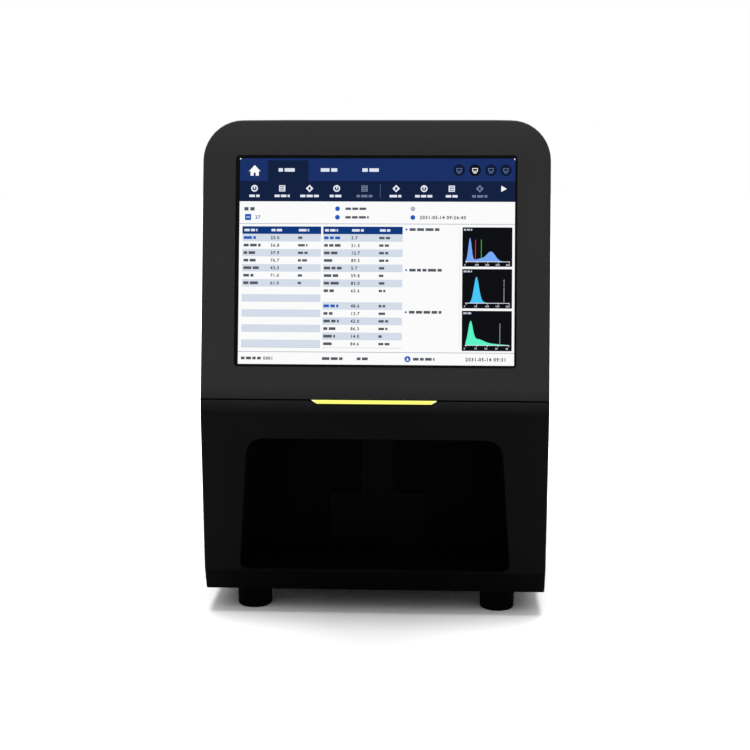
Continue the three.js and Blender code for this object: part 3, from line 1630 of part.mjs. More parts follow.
// Power rocker: a shallow wedge on a pivot in its cavity, tilted to off
{
  const rockerTilt = THREE.MathUtils.degToRad(inlet.rockerTiltDegrees);
  const tall = inlet.rockerHeight / 2 - fit.reveal - inlet.rockerAxisDepth * Math.sin(rockerTilt);
  const crest = inlet.rockerAxisDepth;
  const section = [
    [-inlet.rockerAxisDepth, -tall / 2], [-inlet.rockerAxisDepth, tall / 2], [0, tall],
    [crest, tall], [crest / 2, 0], [crest, -tall], [0, -tall],
  ].reverse();
  const rocker = pushX(section, grown(around(0, inlet.rockerWidth), -fit.slide));
  const pivotY = flangeY[1] - inlet.rockerAxisDepth;
  const key = add('power_rocker', rocker, 'blackPlastic');
  key.rotation.x = rockerTilt;
  key.position.set(inletMiddle, pivotY, (rockerZ[0] + rockerZ[1]) / 2);
}

// Data sockets clipped in the rear panel
function jackBody(size) {
  const xs = around(size.centreX, size.width);
  const zs = from(size.bottom, size.height);
  const body = box(xs, [rearY + jack.proud - jack.depth, rearY + jack.proud], zs);
  const collar = box(
    grown(xs, jack.flange),
    from(rearY + fit.seat, jack.flangeThickness),
    grown(zs, jack.flange),
  );
  return join(body, collar);
}

const mouthOf = (depth) => from(rearY + jack.proud - depth, depth + fit.overrun);
{
  const rowPitch = usb.height / 2;
  const rows = [0, 1].map((i) => usb.bottom + rowPitch * (i + 1 / 2));
  const mouthX = around(usb.centreX, usb.socketWidth);
  const sockets = rows.map((z) => box(mouthX, mouthOf(usb.socketDepth), around(z, usb.socketHeight)));
  const tongues = rows.map((z) => box(
    grown(mouthX, -usb.tongue / 2),
    from(rearY + jack.proud - usb.socketDepth - usb.tongue, usb.socketDepth),
    from(z, usb.tongue),
  ));
  add('usb_ports', join(cut(jackBody(usb), ...sockets), ...tongues), 'steel');
}
{
  const socketBottom = network.bottom + (network.height - network.socketHeight) / 2;
  const socket = box(
    around(network.centreX, network.socketWidth),
    mouthOf(network.socketDepth),
    from(socketBottom, network.socketHeight),
  );
  const latch = box(
    around(network.centreX, network.latchWidth),
    mouthOf(network.socketDepth),
    from(socketBottom - network.latchHeight, network.latchHeight + network.socketHeight / 2),
  );
  add('network_port', cut(jackBody(network), socket, latch), 'steel');
}

// Fluid ports: barbed bulkhead fittings
{
  const tipY = casing.depth / 2;
  const nutY = rearY + fit.seat;
  const barbStart = nutY + port.nutThickness / 2;
  const profile = [
    [port.bore, panelInnerY - port.insideLength], [port.threadRadius, panelInnerY - port.insideLength],
    [port.threadRadius, nutY], [port.nutRadius, nutY], [port.nutRadius, barbStart],
    [port.barbRadius, barbStart], [port.barbTip, tipY], [port.bore, tipY],
    [port.bore, panelInnerY - port.insideLength],
  ];
  port.names.forEach((name, i) => {
    add(name, turnedY(profile), 'whitePlastic').position.set(portX, 0, portHeights[i]);
  });
}

export default analyzer;
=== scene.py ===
# Bench-top blood cell analyzer: its looks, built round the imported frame.
# Metres, +Z up, the front faces -Y. The sections follow the machine as it is put together.

import math
import random

import bmesh
import bpy
from mathutils import Matrix, Vector
from mathutils.bvhtree import BVHTree


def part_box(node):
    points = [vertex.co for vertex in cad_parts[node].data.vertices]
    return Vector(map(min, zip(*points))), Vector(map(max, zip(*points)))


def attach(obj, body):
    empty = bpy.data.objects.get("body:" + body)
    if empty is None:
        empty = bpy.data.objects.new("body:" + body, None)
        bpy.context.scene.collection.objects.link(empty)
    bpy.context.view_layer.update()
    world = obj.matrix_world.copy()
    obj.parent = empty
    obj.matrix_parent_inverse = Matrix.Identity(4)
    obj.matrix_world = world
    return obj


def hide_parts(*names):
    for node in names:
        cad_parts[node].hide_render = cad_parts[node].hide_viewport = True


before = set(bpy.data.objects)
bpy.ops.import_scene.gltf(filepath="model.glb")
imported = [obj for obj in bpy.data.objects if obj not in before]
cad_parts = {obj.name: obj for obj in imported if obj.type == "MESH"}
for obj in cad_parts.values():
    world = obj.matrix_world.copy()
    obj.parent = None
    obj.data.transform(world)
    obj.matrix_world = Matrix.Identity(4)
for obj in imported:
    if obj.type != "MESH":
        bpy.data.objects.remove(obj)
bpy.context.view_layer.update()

MM = 0.001


# Camera: it stands in front of the machine, a little above its top edge,
# and looks down at the screen as the photograph does.
camera_place = (0.0468, -1.2107, 0.3808)
camera_pitch = math.radians(10.37)
camera_yaw = math.radians(2.54)
camera_lens, camera_film = 67.2, 36

camera_data = bpy.data.cameras.new("camera")
camera_data.lens = camera_lens
camera_data.sensor_width = camera_film
camera = bpy.data.objects.new("camera", camera_data)
camera.location = camera_place
camera.rotation_euler = (math.pi / 2 - camera_pitch, 0, camera_yaw)
bpy.context.scene.collection.objects.link(camera)
bpy.context.scene.camera = camera
bpy.context.scene.view_settings.view_transform = "Standard"


# Studio: a white floor that keeps the machine's shadow, a white surround,
# and one large soft lamp overhead, a little behind the machine.
surround_low, surround_high = 0.1, 0.8
floor_radius, floor_corners = 6, 32
floor_shade, floor_near_painted_shade, floor_far_shade = 0.45, 1.05, 2.6
floor_near, floor_far = 0.12, 1.2
floor_painted_shade_reach = (3, 0.5, 0)
lamp_size, lamp_power = 1.5, 52
lamp_place, lamp_aim = (0, 0.2, 2.4), (0, 0, 0.2)
grid_step = 220


def feed(tree, target, *numbered, **named):
    """Fills a node's inputs, by number or by name.

    Each takes a plain value, a node for its first output, or a node with the name of an output.
    """
    for key, value in (*enumerate(numbered), *named.items()):
        socket = target.inputs[key.replace("_", " ") if isinstance(key, str) else key]
        paired = isinstance(value, tuple) and isinstance(value[0], bpy.types.Node)
        source, output = value if paired else (value, 0)
        if isinstance(source, bpy.types.Node):
            tree.links.new(source.outputs[output], socket)
        else:
            socket.default_value = value


def node(tree, kind, *numbered, **named):
    """A node to the right of those before it. A kind such as "Math ADD" also names its operation."""
    kind, _, operation = kind.partition(" ")
    made = tree.nodes.new({"SHADER": "ShaderNode", "GEOMETRY": "GeometryNode"}[tree.type] + kind)
    made.location.x = grid_step * len(tree.nodes)
    if operation:
        made.operation = operation
    feed(tree, made, *numbered, **named)
    return made


def seen_or_lighting(tree, output, lighting, seen):
    """One shader for what the camera, a reflection or a clear part shows, another for the light."""
    path = node(tree, "LightPath")
    straight = node(tree, "Math MAXIMUM", (path, "Is Camera Ray"), (path, "Is Glossy Ray"))
    sight = node(tree, "Math MAXIMUM", straight, (path, "Is Transmission Ray"))
    node(tree, output, node(tree, "MixShader", sight, lighting, seen))


world = bpy.data.worlds.new("studio")
bpy.context.scene.world = world
world.use_nodes = True
tree = world.node_tree
tree.nodes.clear()
height = node(tree, "SeparateXYZ", (node(tree, "TexCoord"), "Generated"))
strength = node(tree, "MapRange", (height, "Z"), To_Min=surround_low, To_Max=surround_high)
surround = node(tree, "Background", Color=(1, 1, 1, 1), Strength=strength)
backdrop = node(tree, "Background", Color=(1, 1, 1, 1), Strength=1)
seen_or_lighting(tree, "OutputWorld", surround, backdrop)

lamp_data = bpy.data.lights.new("overhead lamp", "AREA")
lamp_data.shape = "SQUARE"
lamp_data.size = lamp_size
lamp_data.energy = lamp_power
lamp = bpy.data.objects.new("overhead lamp", lamp_data)
lamp.location = lamp_place
lamp.rotation_euler = (Vector(lamp_aim) - Vector(lamp_place)).to_track_quat("-Z", "Y").to_euler()
bpy.context.scene.collection.objects.link(lamp)


def ring(radius, corners, centre=(0, 0)):
    """The corners of a circle, counter-clockwise, as pairs."""
    turns = [2 * math.pi * i / corners for i in range(corners)]
    return [(centre[0] + radius * math.cos(t), centre[1] + radius * math.sin(t)) for t in turns]


floor_mesh = bpy.data.meshes.new("floor")
floor_mesh.from_pydata([(x, y, 0) for x, y in ring(floor_radius, floor_corners)], [], [list(range(floor_corners))])
floor = bpy.data.objects.new("floor", floor_mesh)
bpy.context.scene.collection.objects.link(floor)
floor_paint = bpy.data.materials.new("white floor, painted shade near machine")
floor_paint.use_nodes = True
tree = floor_paint.node_tree
tree.nodes.clear()
# The floor the camera sees is painted darker near the machine, most in front of it, and brighter farther out: painted
# shade that deepens and lengthens its cast shadow in front and fades its halo at the sides.
spread = node(tree, "VectorMath MULTIPLY", (node(tree, "TexCoord"), "Object"), floor_painted_shade_reach)
distance = node(tree, "VectorMath LENGTH", spread)
shade = node(tree, "MapRange", (distance, "Value"), From_Min=floor_near, From_Max=floor_far,
             To_Min=floor_near_painted_shade, To_Max=floor_far_shade)
plain = node(tree, "BsdfDiffuse", Color=(floor_shade, floor_shade, floor_shade, 1))
seen_or_lighting(tree, "OutputMaterial", plain, node(tree, "BsdfDiffuse", Color=shade))
floor_mesh.materials.append(floor_paint)


# Screen bezel: the dark grey tray round the screen, injection moulded in a flame-retardant
# plastic with a spark-eroded texture, and clipped over the lower cover at the seam. Its colour
# is painted a little darker towards the seam: painted shade.
bezel_grey = (0.0368, 0.0373, 0.0370)
bezel_painted_shade = ((0.171, 0.181, 0.6, 1),)
cloud_scale, cloud_detail, pit_detail = 14, 3, 2
pit_strength, sheen_spread = 0.6, 0.12
merge_gap, flat_angle = 0.002 * MM, math.radians(0.5)
moulding_edge, edge_steps, edge_angle = 0.5, 2, math.radians(35)


def new_finish(name, **values):
    """A new material, its tree and its shader, with plain values set by socket name."""
    material = bpy.data.materials.new(name)
    material.use_nodes = True
    tree = material.node_tree
    shader = tree.nodes["Principled BSDF"]
    feed(tree, shader, **values)
    return material, tree, shader


def two_tones(tree, cloud, colour, spread):
    """A darker and a paler tone of one colour, mixed by a cloud."""
    tones = [(*[min(1, c * share) for c in colour], 1) for share in (1 - spread, 1 + spread)]
    return node(tree, "MixRGB", cloud, *tones)


def varied(tree, cloud, middle, spread):
    """A number that swings round its middle with a cloud."""
    return node(tree, "MapRange", cloud, To_Min=middle * (1 - spread), To_Max=middle * (1 + spread))


def moulded(name, colour, roughness=0.5, specular=0.08, grain=0.45, depth=0.012, spread=0.1, painted_shading=()):
    """Moulded plastic: a fine pitted skin, with a colour that clouds a little over the part.

    Grain and depth are in millimetres. Each painted shading is a low and a high place on Z in metres,
    and the share of the colour at each: light and shade painted into the colour by height.
    """
    material, tree, shader = new_finish(name, Specular_IOR_Level=specular)
    place = (node(tree, "TexCoord"), "Object")
    cloud = node(tree, "TexNoise", place, Scale=cloud_scale, Detail=cloud_detail)
    pits = node(tree, "TexNoise", place, Scale=1 / (grain * MM), Detail=pit_detail)
    shade = two_tones(tree, cloud, colour, spread)
    # Painted light and shade: the colour is scaled up or down by height.
    for low, high, low_share, high_share in painted_shading:
        height = (node(tree, "SeparateXYZ", place), "Z")
        share = node(tree, "MapRange", height, From_Min=low, From_Max=high, To_Min=low_share, To_Max=high_share)
        shade = node(tree, "VectorMath SCALE", shade, Scale=share)
    bump = node(tree, "Bump", Strength=pit_strength, Distance=depth * MM, Height=pits)
    feed(tree, shader, Base_Color=shade, Roughness=varied(tree, pits, roughness, sheen_spread), Normal=bump)
    return material


def placed(name, mesh, materials, body, slot, *stands_for):
    """Puts a finished mesh on its body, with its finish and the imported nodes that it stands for."""
    piece = bpy.data.objects.new(name, mesh)
    bpy.context.scene.collection.objects.link(piece)
    for material in materials if isinstance(materials, tuple) else (materials,):
        mesh.materials.append(material)
    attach(piece, body)
    if stands_for:
        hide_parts(*stands_for)
    return piece


def from_shape(name, shape):
    """A plain mesh from a worked shape, shaded smooth, each face keeping its finish."""
    shape.verts.index_update()
    mesh = bpy.data.meshes.new(name)
    mesh.from_pydata([v.co[:] for v in shape.verts], [], [[v.index for v in f.verts] for f in shape.faces])
    mesh.polygons.foreach_set("use_smooth", [True] * len(mesh.polygons))
    mesh.polygons.foreach_set("material_index", [f.material_index for f in shape.faces])
    shape.free()
    return mesh


def whole_shape(source):
    """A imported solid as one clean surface: its loose triangles merged, its flat faces made whole."""
    shape = bmesh.new()
    shape.from_mesh(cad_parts[source].data)
    for face in shape.faces:
        face.material_index = 0
    bmesh.ops.remove_doubles(shape, verts=shape.verts, dist=merge_gap)
    bmesh.ops.dissolve_limit(shape, angle_limit=flat_angle, verts=shape.verts, edges=shape.edges)
    return shape


def banded(shape, axis, limits, finishes):
    """Cuts a shape across an axis at the limits, and gives each band its own finish."""
    normal = [float(i == axis) for i in range(3)]
    for limit in limits:
        every = shape.verts[:] + shape.edges[:] + shape.faces[:]
        point = [limit * c for c in normal]
        bmesh.ops.bisect_plane(shape, geom=every, plane_co=point, plane_no=normal, dist=merge_gap)
    for face in shape.faces:
        middle = face.calc_center_median()[axis]
        face.material_index = finishes[sum(middle > limit for limit in limits)]


def eased(source, name, materials, slot, edge, body="casing", bands=None, inlaid=()):
    """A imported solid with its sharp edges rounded, as a moulding's or a worked part's are.

    Edge is their radius in millimetres. Bands give the piece a finish by length. Inlaid lists boxes,
    as (low, high) in millimetres on each axis, where its faces take the second finish.
    """
    shape = whole_shape(source)
    if bands:
        banded(shape, *bands)
    for spans in inlaid:
        for face in shape.faces:
            if all(low < place < high for place, (low, high) in zip(face.calc_center_median() / MM, spans)):
                face.material_index = 1
    piece = placed(name, from_shape(name, shape), materials, body, slot, source)
    rounding = piece.modifiers.new("rounded edges", "BEVEL")
    rounding.width = edge * MM
    rounding.segments = edge_steps
    rounding.limit_method = "ANGLE"
    rounding.angle_limit = edge_angle
    rounding.harden_normals = True
    return piece


bezel_plastic = moulded("dark grey moulding, painted shade at seam", bezel_grey, painted_shading=bezel_painted_shade)
eased("screen_bezel", "bezel_tray", bezel_plastic, "bezel_plastic", moulding_edge)


# Display: a lit panel of 800 by 600 dots in a metal-skinned case, held by a steel bracket
# behind the bezel, with a black-edged touch glass bonded over it. The picture is a row of
# counts, curves and keys, with plain bars where a real one has words.
slope = math.radians(12)
slope_foot = Vector((0, -0.17313, 0.1712))
up_slope = Vector((0, math.sin(slope), math.cos(slope)))
off_slope = Vector((0, -math.cos(slope), math.sin(slope)))
dot = 0.262 * MM
first_dot = (-104.1 * MM, 184.2 * MM)
picture_depth = -1.17 * MM
layer, base_rise, thickness = 0.05 * MM, 0.4, 0.9
glass_black, steel_grey, skin_grey = (0.003, 0.003, 0.0035), (0.5, 0.51, 0.52), (0.42, 0.43, 0.44)
panel_black = (0.004, 0.004, 0.005, 1)
glass_edge, skin_edge, sheet_edge = 0.3, 0.8, 0.25
line_scale, line_detail, shine_scale, shine_detail = 10, 4, 18, 2
line_strength, line_depth, shine_spread, metal_spread = 0.5, 0.004 * MM, 0.3, 0.1
white, ink, digit_ink, key_black, pane_black = (253, 253, 253), (84, 89, 98), (28, 31, 38), (6, 9, 16), (4, 5, 8)
navy, deep_navy, tab_navy, head_blue = (20, 46, 103), (10, 22, 50), (12, 28, 62), (6, 54, 124)
pale_stripe, soft_grey, link_blue = (213, 222, 234), (176, 184, 196), (30, 90, 190)
nav_white, tab_white, head_white = (225, 232, 244), (232, 238, 250), (226, 236, 250)
axis_white, scale_white, title_white, dash_white = (235, 238, 244), (220, 226, 236), (200, 208, 222), (230, 234, 240)
dim_key, dim_tab, divider_blue = (92, 112, 158), (110, 124, 152), (70, 88, 126)
across, down = 800, 600
nav_foot, tabs_foot, foot_top = 66, 126, 563
clipped = 5
row_count, row_height, rows_top, rows_foot = 15, 22, 221, 551
dash, dash_pitch = 3, 6
curve_steps, curve_least, scale_steps = 60, 0.4, 4
digit_step, point_step, digit_scale, digit_drop, digit_weight = 0.62, 0.34, 1.05, 0.36, 0.028
corners, faces, tints = [], [], []


def on_screen(x, y, lift):
    """A point of the screen, from dots and a lift in layers off the picture's back."""
    along = Vector((first_dot[0] + x * dot, 0, 0)) + up_slope * (first_dot[1] - y * dot)
    return slope_foot + along + off_slope * (picture_depth + lift * layer)


def drawn(points, sides, colour):
    """Adds a closed form to the picture, lit by a display colour written 0 to 255."""
    start = len(corners)
    corners.extend(on_screen(*point) for point in points)
    faces.extend([start + i for i in side] for side in sides)
    light = [((c / 255 + 0.055) / 1.055) ** 2.4 if c > 10 else c / 255 / 12.92 for c in colour]
    tints.extend([light] * len(sides))


def mark(outline, colour, level):
    """A flat patch of the picture, from its corners in dots from the top left."""
    count, top = len(outline), level or base_rise
    points = [(x, y, lift) for lift in (top - thickness, top) for x, y in outline]
    edges = [[i, (i + 1) % count, count + (i + 1) % count, count + i] for i in range(count)]
    drawn(points, [range(count)[::-1], range(count, 2 * count)] + edges, colour)


def bar(left, top, right, bottom, colour, level=1):
    mark([(left, bottom), (right, bottom), (right, top), (left, top)], colour, level)


def spot(x, y, radius, colour, level=3, sides=20):
    mark([(px, -py) for px, py in ring(radius, sides, (x, -y))], colour, level)


def dashes(x, top, count, thick, colour, level):
    for step in range(count):
        bar(x, top + dash_pitch * step, x + thick, top + dash_pitch * step + dash, colour, level)


def words(left, middle, width, height, colour, seed, level=3):
    """Bars in the place of words, broken where a word ends."""
    draw = random.Random(seed)
    while width > height / 2:
        length = min(width, height * draw.uniform(1.2, 3.2))
        bar(left, middle - height / 2, left + length, middle + height / 2, colour, level)
        left, width = left + length + height / 2, width - length - height / 2


glyphs = {}


def glyph(character):
    """The corners and faces of a digit or point, one high, cut from Blender's own lettering."""
    if character not in glyphs:
        curve = bpy.data.curves.new("digit", "FONT")
        curve.body, curve.resolution_u, curve.extrude, curve.offset = character, 2, 0.5, digit_weight
        letter = bpy.data.objects.new("digit", curve)
        mesh = bpy.data.meshes.new_from_object(letter)
        bpy.data.objects.remove(letter)
        glyphs[character] = ([v.co[:] for v in mesh.vertices], [p.vertices[:] for p in mesh.polygons])
        bpy.data.meshes.remove(mesh)
    return glyphs[character]


def digits(left, middle, text, height, colour, level=4):
    """Plain digits, with their left end and mid height in dots."""
    foot, size = middle + height * digit_drop, height * digit_scale
    for character in text:
        if character != " ":
            points, sides = glyph(character)
            drawn([(left + x * size, foot - y * size, level + z * thickness) for x, y, z in points], sides, colour)
        left += height * (point_step if character in ".:- " else digit_step)


def curve(left, right, base, bells, colour):
    """A filled curve of counts: bell shapes of (middle, width, height) added together."""
    xs = [left + i * (right - left) / curve_steps for i in range(curve_steps + 1)]
    tops = [base - max(curve_least, sum(h * math.exp(-((x - m) / w) ** 2) for m, w, h in bells)) for x in xs]
    for x0, y0, x1, y1 in zip(xs, tops, xs[1:], tops[1:]):
        mark([(x0, base), (x1, base), (x1, y1), (x0, y0)], colour, 3)


# The top bars of the picture, with their keys.
bar(0, 0, across, down, white, 0)
bar(0, 0, across, nav_foot, navy)
mark([(0, clipped), (clipped, 0), (0, 0)], white, 3)
mark([(across - clipped, 0), (across, clipped), (across, 0)], white, 3)
bar(0, nav_foot, across, tabs_foot, tab_navy)
bar(82, 6, 200, nav_foot, tab_navy, 2)
mark([(26, 38), (43, 20), (60, 38)], white, 3)
bar(31, 38, 55, 51, white, 3)
bar(40, 42, 46, 51, navy, 4)
for x, width in ((113, 50), (236, 48), (357, 48)):
    words(x, 34, width, 10, nav_white, x)
for x, disc, tone in ((638, deep_navy, dim_key), (684, key_black, white), (730, deep_navy, dim_key),
                      (773, deep_navy, dim_key)):
    spot(x, 34, 17, disc, 2, 28)
    bar(x - 8, 28, x + 8, 38, tone, 3)
    bar(x - 6, 30, x + 6, 36, disc, 4)
    bar(x - 5, 40, x + 5, 43, tone, 3)
for i, (x, width) in enumerate(((43, 30), (124, 44), (204, 54), (283, 40), (364, 46), (456, 38), (537, 52),
                                (617, 34), (698, 44))):
    tone = dim_tab if i in (4, 8) else tab_white
    if i % 3 == 0:
        spot(x, 88, 10, tone)
        spot(x, 88, 6, tab_navy, 4)
        bar(x - 2, 82, x + 2, 90, tone, 5)
    elif i % 3 == 1:
        bar(x - 9, 79, x + 9, 97, tone, 3)
        for y in (82, 87, 92):
            bar(x - 6, y, x + 6, y + 2, tab_navy, 4)
    else:
        mark([(x - 11, 88), (x, 99), (x + 11, 88), (x, 77)], tone, 3)
        bar(x - 3, 84, x + 3, 92, tab_navy, 4)
    words(x - width / 2, 110, width, 7, tone, 10 + i)
bar(409, 76, 411, 116, divider_blue, 3)
mark([(760, 79), (760, 97), (776, 88)], white, 3)

# The head of the sheet, and the two tables of counts.
words(14, 148, 30, 10, ink, 31)
bar(16, 163, 34, 181, link_blue, 3)
bar(20, 171, 30, 173, white, 4)
digits(46, 172, "27", 13, link_blue)
for y, width, seed, far_tone in ((147, 62, 33, soft_grey), (172, 68, 34, link_blue)):
    spot(286, y, 7, link_blue)
    words(309, y, width, 7, ink, seed)
    spot(505, y, 7, far_tone)
digits(525, 172, "2031-05-14 09:26:40", 13, digit_ink)
bar(0, 190, across, 192, soft_grey)
draw = random.Random(41)
for side, left, right, columns in ((0, 9, 239, (13, 92, 172)), (1, 245, 476, (248, 327, 408))):
    bar(left, 199, right, rows_top, head_blue)
    for x, width, seed in zip(columns, (38, 34, 30), (50, 51, 52)):
        words(x + 2, 210, width, 7, head_white, seed + side)
    striped = (0, 2, 4, 6, 9, 11, 13) if side else range(0, row_count, 2)
    filled = [row for row in range(row_count) if row < (7, 8)[side] or (side and row > 8)]
    for row in range(row_count):
        top = rows_top + row_height * row
        if row in striped:
            bar(left, top, right, top + row_height, pale_stripe)
        if row in filled:
            first_ink = link_blue if row == 0 or (side and row == 9) else ink
            words(columns[0], top + 11, draw.uniform(26, 52), 8, first_ink, 70 + row + 20 * side)
            digits(columns[1], top + 11, f"{draw.uniform(0.5, 98):.1f}", 12, digit_ink)
            words(columns[2], top + 11, draw.uniform(8, 36), 7, ink, 110 + row + 20 * side)
    bar(left, rows_foot, right, rows_foot + 1, soft_grey)
for y in (207, 325, 447):
    spot(487, y, 3, link_blue, 3, 12)
    words(496, y, 94, 8, ink, y)
dashes(641, 200, 58, 1, soft_grey, 1)

# Three black panes with a curve each: their place, scale, bells, colour and upright limits.
for top, bottom, base, last, left, right, bells, colour, limits in (
        (200, 314, 299, 400, 658, 768, ((671, 6.5, 68), (701, 22, 8), (732, 17, 28)), (120, 170, 250),
         ((686, 236, (240, 70, 60)), (703, 236, (70, 220, 90)))),
        (321, 435, 419, 200, 668, 722, ((690, 10, 70), (698, 13, 8)), (70, 200, 250), ()),
        (442, 558, 541, 40, 660, 784, ((674, 9, 60), (692, 26, 16), (730, 40, 4)), (90, 245, 200),
         ((758, 478, (170, 176, 186)),))):
    bar(649, top, 793, bottom, pane_black, 2)
    bar(658, base, 786, base + 1.6, axis_white, 4)
    for i in range(scale_steps + 1):
        bar(660 + 31 * i, base, 661.5 + 31 * i, base + 5, axis_white, 4)
        digits(655 + 30 * i, base + 10, str(last // scale_steps * i), 6.5, scale_white)
    words(653, top + 7, 24, 5, title_white, top)
    curve(left, right, base, bells, colour)
    for x, limit_top, tone in limits:
        bar(x, limit_top, x + 1.4, base, tone, 4)
dashes(769, 352, 11, 1.6, dash_white, 4)

# The foot line.
bar(0, foot_top, across, foot_top + 2, soft_grey)
for x, width, seed in ((9, 58, 201), (245, 60, 202), (346, 32, 203), (509, 62, 204)):
    words(x, 583, width, 8, ink, seed)
digits(74, 583, "0001", 12, digit_ink)
spot(493, 583, 9, link_blue)
mark([(489, 587), (497, 587), (493, 578)], white, 4)
digits(660, 583, "2031-05-14 09:31", 13.5, digit_ink)

picture_mesh = bpy.data.meshes.new("display_picture")
picture_mesh.from_pydata(corners, [], faces)
tint = picture_mesh.color_attributes.new("tint", "FLOAT_COLOR", "CORNER")
for side, light in zip(picture_mesh.polygons, tints):
    for corner in side.loop_indices:
        tint.data[corner].color = (*light, 1)

picture_light, tree, shader = new_finish("lit picture", Base_Color=panel_black, Roughness=0.25,
                                         Specular_IOR_Level=0.02, Emission_Strength=1)
tint = node(tree, "VertexColor")
tint.layer_name = "tint"
unevenness = node(tree, "TexNoise", (node(tree, "TexCoord"), "Object"), Scale=7)
evened = node(tree, "VectorMath SCALE", tint, Scale=node(tree, "MapRange", unevenness, To_Min=0.955, To_Max=1.0))
feed(tree, shader, Emission_Color=evened)
placed("display_picture", picture_mesh, picture_light, "casing", "display_glass")


def plated(name, colour, roughness, lines=(8, 8, 300)):
    """Worked metal: fine lines along one way, and a shine that varies with them."""
    material, tree, shader = new_finish(name, Metallic=1)
    place = (node(tree, "TexCoord"), "Object")
    grain = node(tree, "TexNoise", node(tree, "Mapping", place, Scale=lines), Scale=line_scale, Detail=line_detail)
    cloud = node(tree, "TexNoise", place, Scale=shine_scale, Detail=shine_detail)
    height = node(tree, "Math MULTIPLY", grain, cloud)
    bump = node(tree, "Bump", Strength=line_strength, Distance=line_depth, Height=height)
    feed(tree, shader, Base_Color=two_tones(tree, cloud, colour, metal_spread),
         Roughness=varied(tree, grain, roughness, shine_spread), Normal=bump)
    return material


screen_glass = moulded("black-edged glass", glass_black, roughness=0.12, specular=0.05, depth=0.0005)
zinc_sheet = plated("zinc-plated sheet", steel_grey, 0.34)
display_skin = plated("pressed display case", skin_grey, 0.42, lines=(60, 60, 8))
eased("touch_glass", "bonded_glass", screen_glass, "display_glass", glass_edge)
eased("lcd_module", "display_case", display_skin, "display_case", skin_edge)
eased("display_bracket", "display_bracket_sheet", zinc_sheet, "sheet_metal", sheet_edge)


# Light bar: a yellow status lens, moulded clear and lit from behind, that snaps into
# a notch under the seam. Its lit part has slanted ends, painted paler as a painted highlight, and a dark lip below.
bar_yellow, bar_painted_highlight = (0.956, 0.947, 0.181, 1), (1.0, 0.99, 0.62, 1)
lens_tint = (0.3, 0.29, 0.06)
bar_top, bar_low, bar_half = 171.4 * MM, 168.45 * MM, 49.9 * MM
bar_lean, bar_edge = 2.0, 0.15 * MM
highlight_lean, highlight_from, highlight_edge = 0.35, 45.2 * MM, 0.9 * MM
lens_width_share, lens_rise, lens_edge = 0.984, 0.7 * MM, 0.35
dapple_scale, dapple_least = 180, 0.93

lens_glow, tree, shader = new_finish("lit yellow lens, painted highlight at ends", Specular_IOR_Level=0.15, Roughness=0.3, Emission_Strength=1)
place = (node(tree, "TexCoord"), "Object")
split = node(tree, "SeparateXYZ", place)
outward = node(tree, "Math ABSOLUTE", (split, "X"))


def past(lean, place_along, edge):
    """0 inside and 1 past a line that runs inward by a lean, from a place along the bar's top."""
    drop = node(tree, "Math MULTIPLY_ADD", (split, "Z"), -lean, bar_top * lean)
    along = node(tree, "Math ADD", outward, drop)
    return node(tree, "MapRange", along, From_Min=place_along - edge, From_Max=place_along + edge)


above = node(tree, "MapRange", (split, "Z"), From_Min=bar_low - bar_edge, From_Max=bar_low + bar_edge)
lit = node(tree, "Math SUBTRACT", above, past(bar_lean, bar_half, bar_edge))
lit.use_clamp = True
# Painted highlight: the slanted ends glow paler.
hue = node(tree, "MixRGB", past(highlight_lean, highlight_from, highlight_edge), bar_yellow, bar_painted_highlight)
dapple = node(tree, "MapRange", node(tree, "TexNoise", place, Scale=dapple_scale), To_Min=dapple_least, To_Max=1)
glow = node(tree, "Math MULTIPLY", dapple, lit)
feed(tree, shader, Base_Color=node(tree, "VectorMath SCALE", lens_tint, Scale=lit),
     Emission_Color=node(tree, "VectorMath SCALE", hue, Scale=glow))
lens = eased("light_bar_lens", "status_lens", lens_glow, "light_lens", lens_edge)
for corner in lens.data.vertices:
    corner.co.x *= lens_width_share
    corner.co.z += lens_rise


# Lower front cover: the near-black moulding under the seam, with the bend, the bay opening
# and the chin. It is screwed on from below and behind, so no screw shows at the front.
# The strip above the bend is painted paler, a painted sheen, and the chin is painted darker, painted shade.
# The near-black is partly the plastic's own darker tone and partly painted shade of the lower front face.
cover_black_and_painted_shade = (0.0053, 0.0055, 0.0054)
# Painted sheen on the strip above the bend, and painted shade on the chin.
front_painted_sheen_and_shade = ((0.1605, 0.1715, 1, 4.8), (0.034, 0.0362, 0.05, 1))
front_edge = 1.1

cover_plastic = moulded("near-black moulding", cover_black_and_painted_shade, roughness=0.42, specular=0.02)
front_painted_plastic = moulded("near-black moulding, painted sheen and shade", cover_black_and_painted_shade, roughness=0.42, specular=0.02, painted_shading=front_painted_sheen_and_shade)
eased("lower_front_cover", "lower_cover_moulding", front_painted_plastic, "cover_plastic", front_edge)


# Seam gasket: a black strip, just proud of both mouldings, that closes the seam
# between the bezel and the lower cover.
gasket_low, gasket_high = -0.6 * MM, 0.5 * MM
gasket_half = 132.3 * MM
gasket_back, gasket_proud = -1.2 * MM, 0.06 * MM
crisp_angle = math.radians(40)


def skinned(shape, rings, caps=True, finish=0):
    """Joins rings of corners one after another, and closes the first and the last with a cap."""
    sides = [shape.faces.new(rings[0][::-1]), shape.faces.new(rings[-1])] if caps else []
    for lower, upper in zip(rings, rings[1:]):
        for i, corner in enumerate(lower):
            j = (i + 1) % len(lower)
            sides.append(shape.faces.new((corner, lower[j], upper[j], upper[i])))
    for face in sides:
        face.material_index = finish


def crisp_mesh(name, shape):
    """A plain mesh from a shape, smooth along its curves and crisp at its corners."""
    bmesh.ops.recalc_face_normals(shape, faces=shape.faces)
    mesh = from_shape(name, shape)
    mesh.set_sharp_from_angle(angle=crisp_angle)
    return mesh


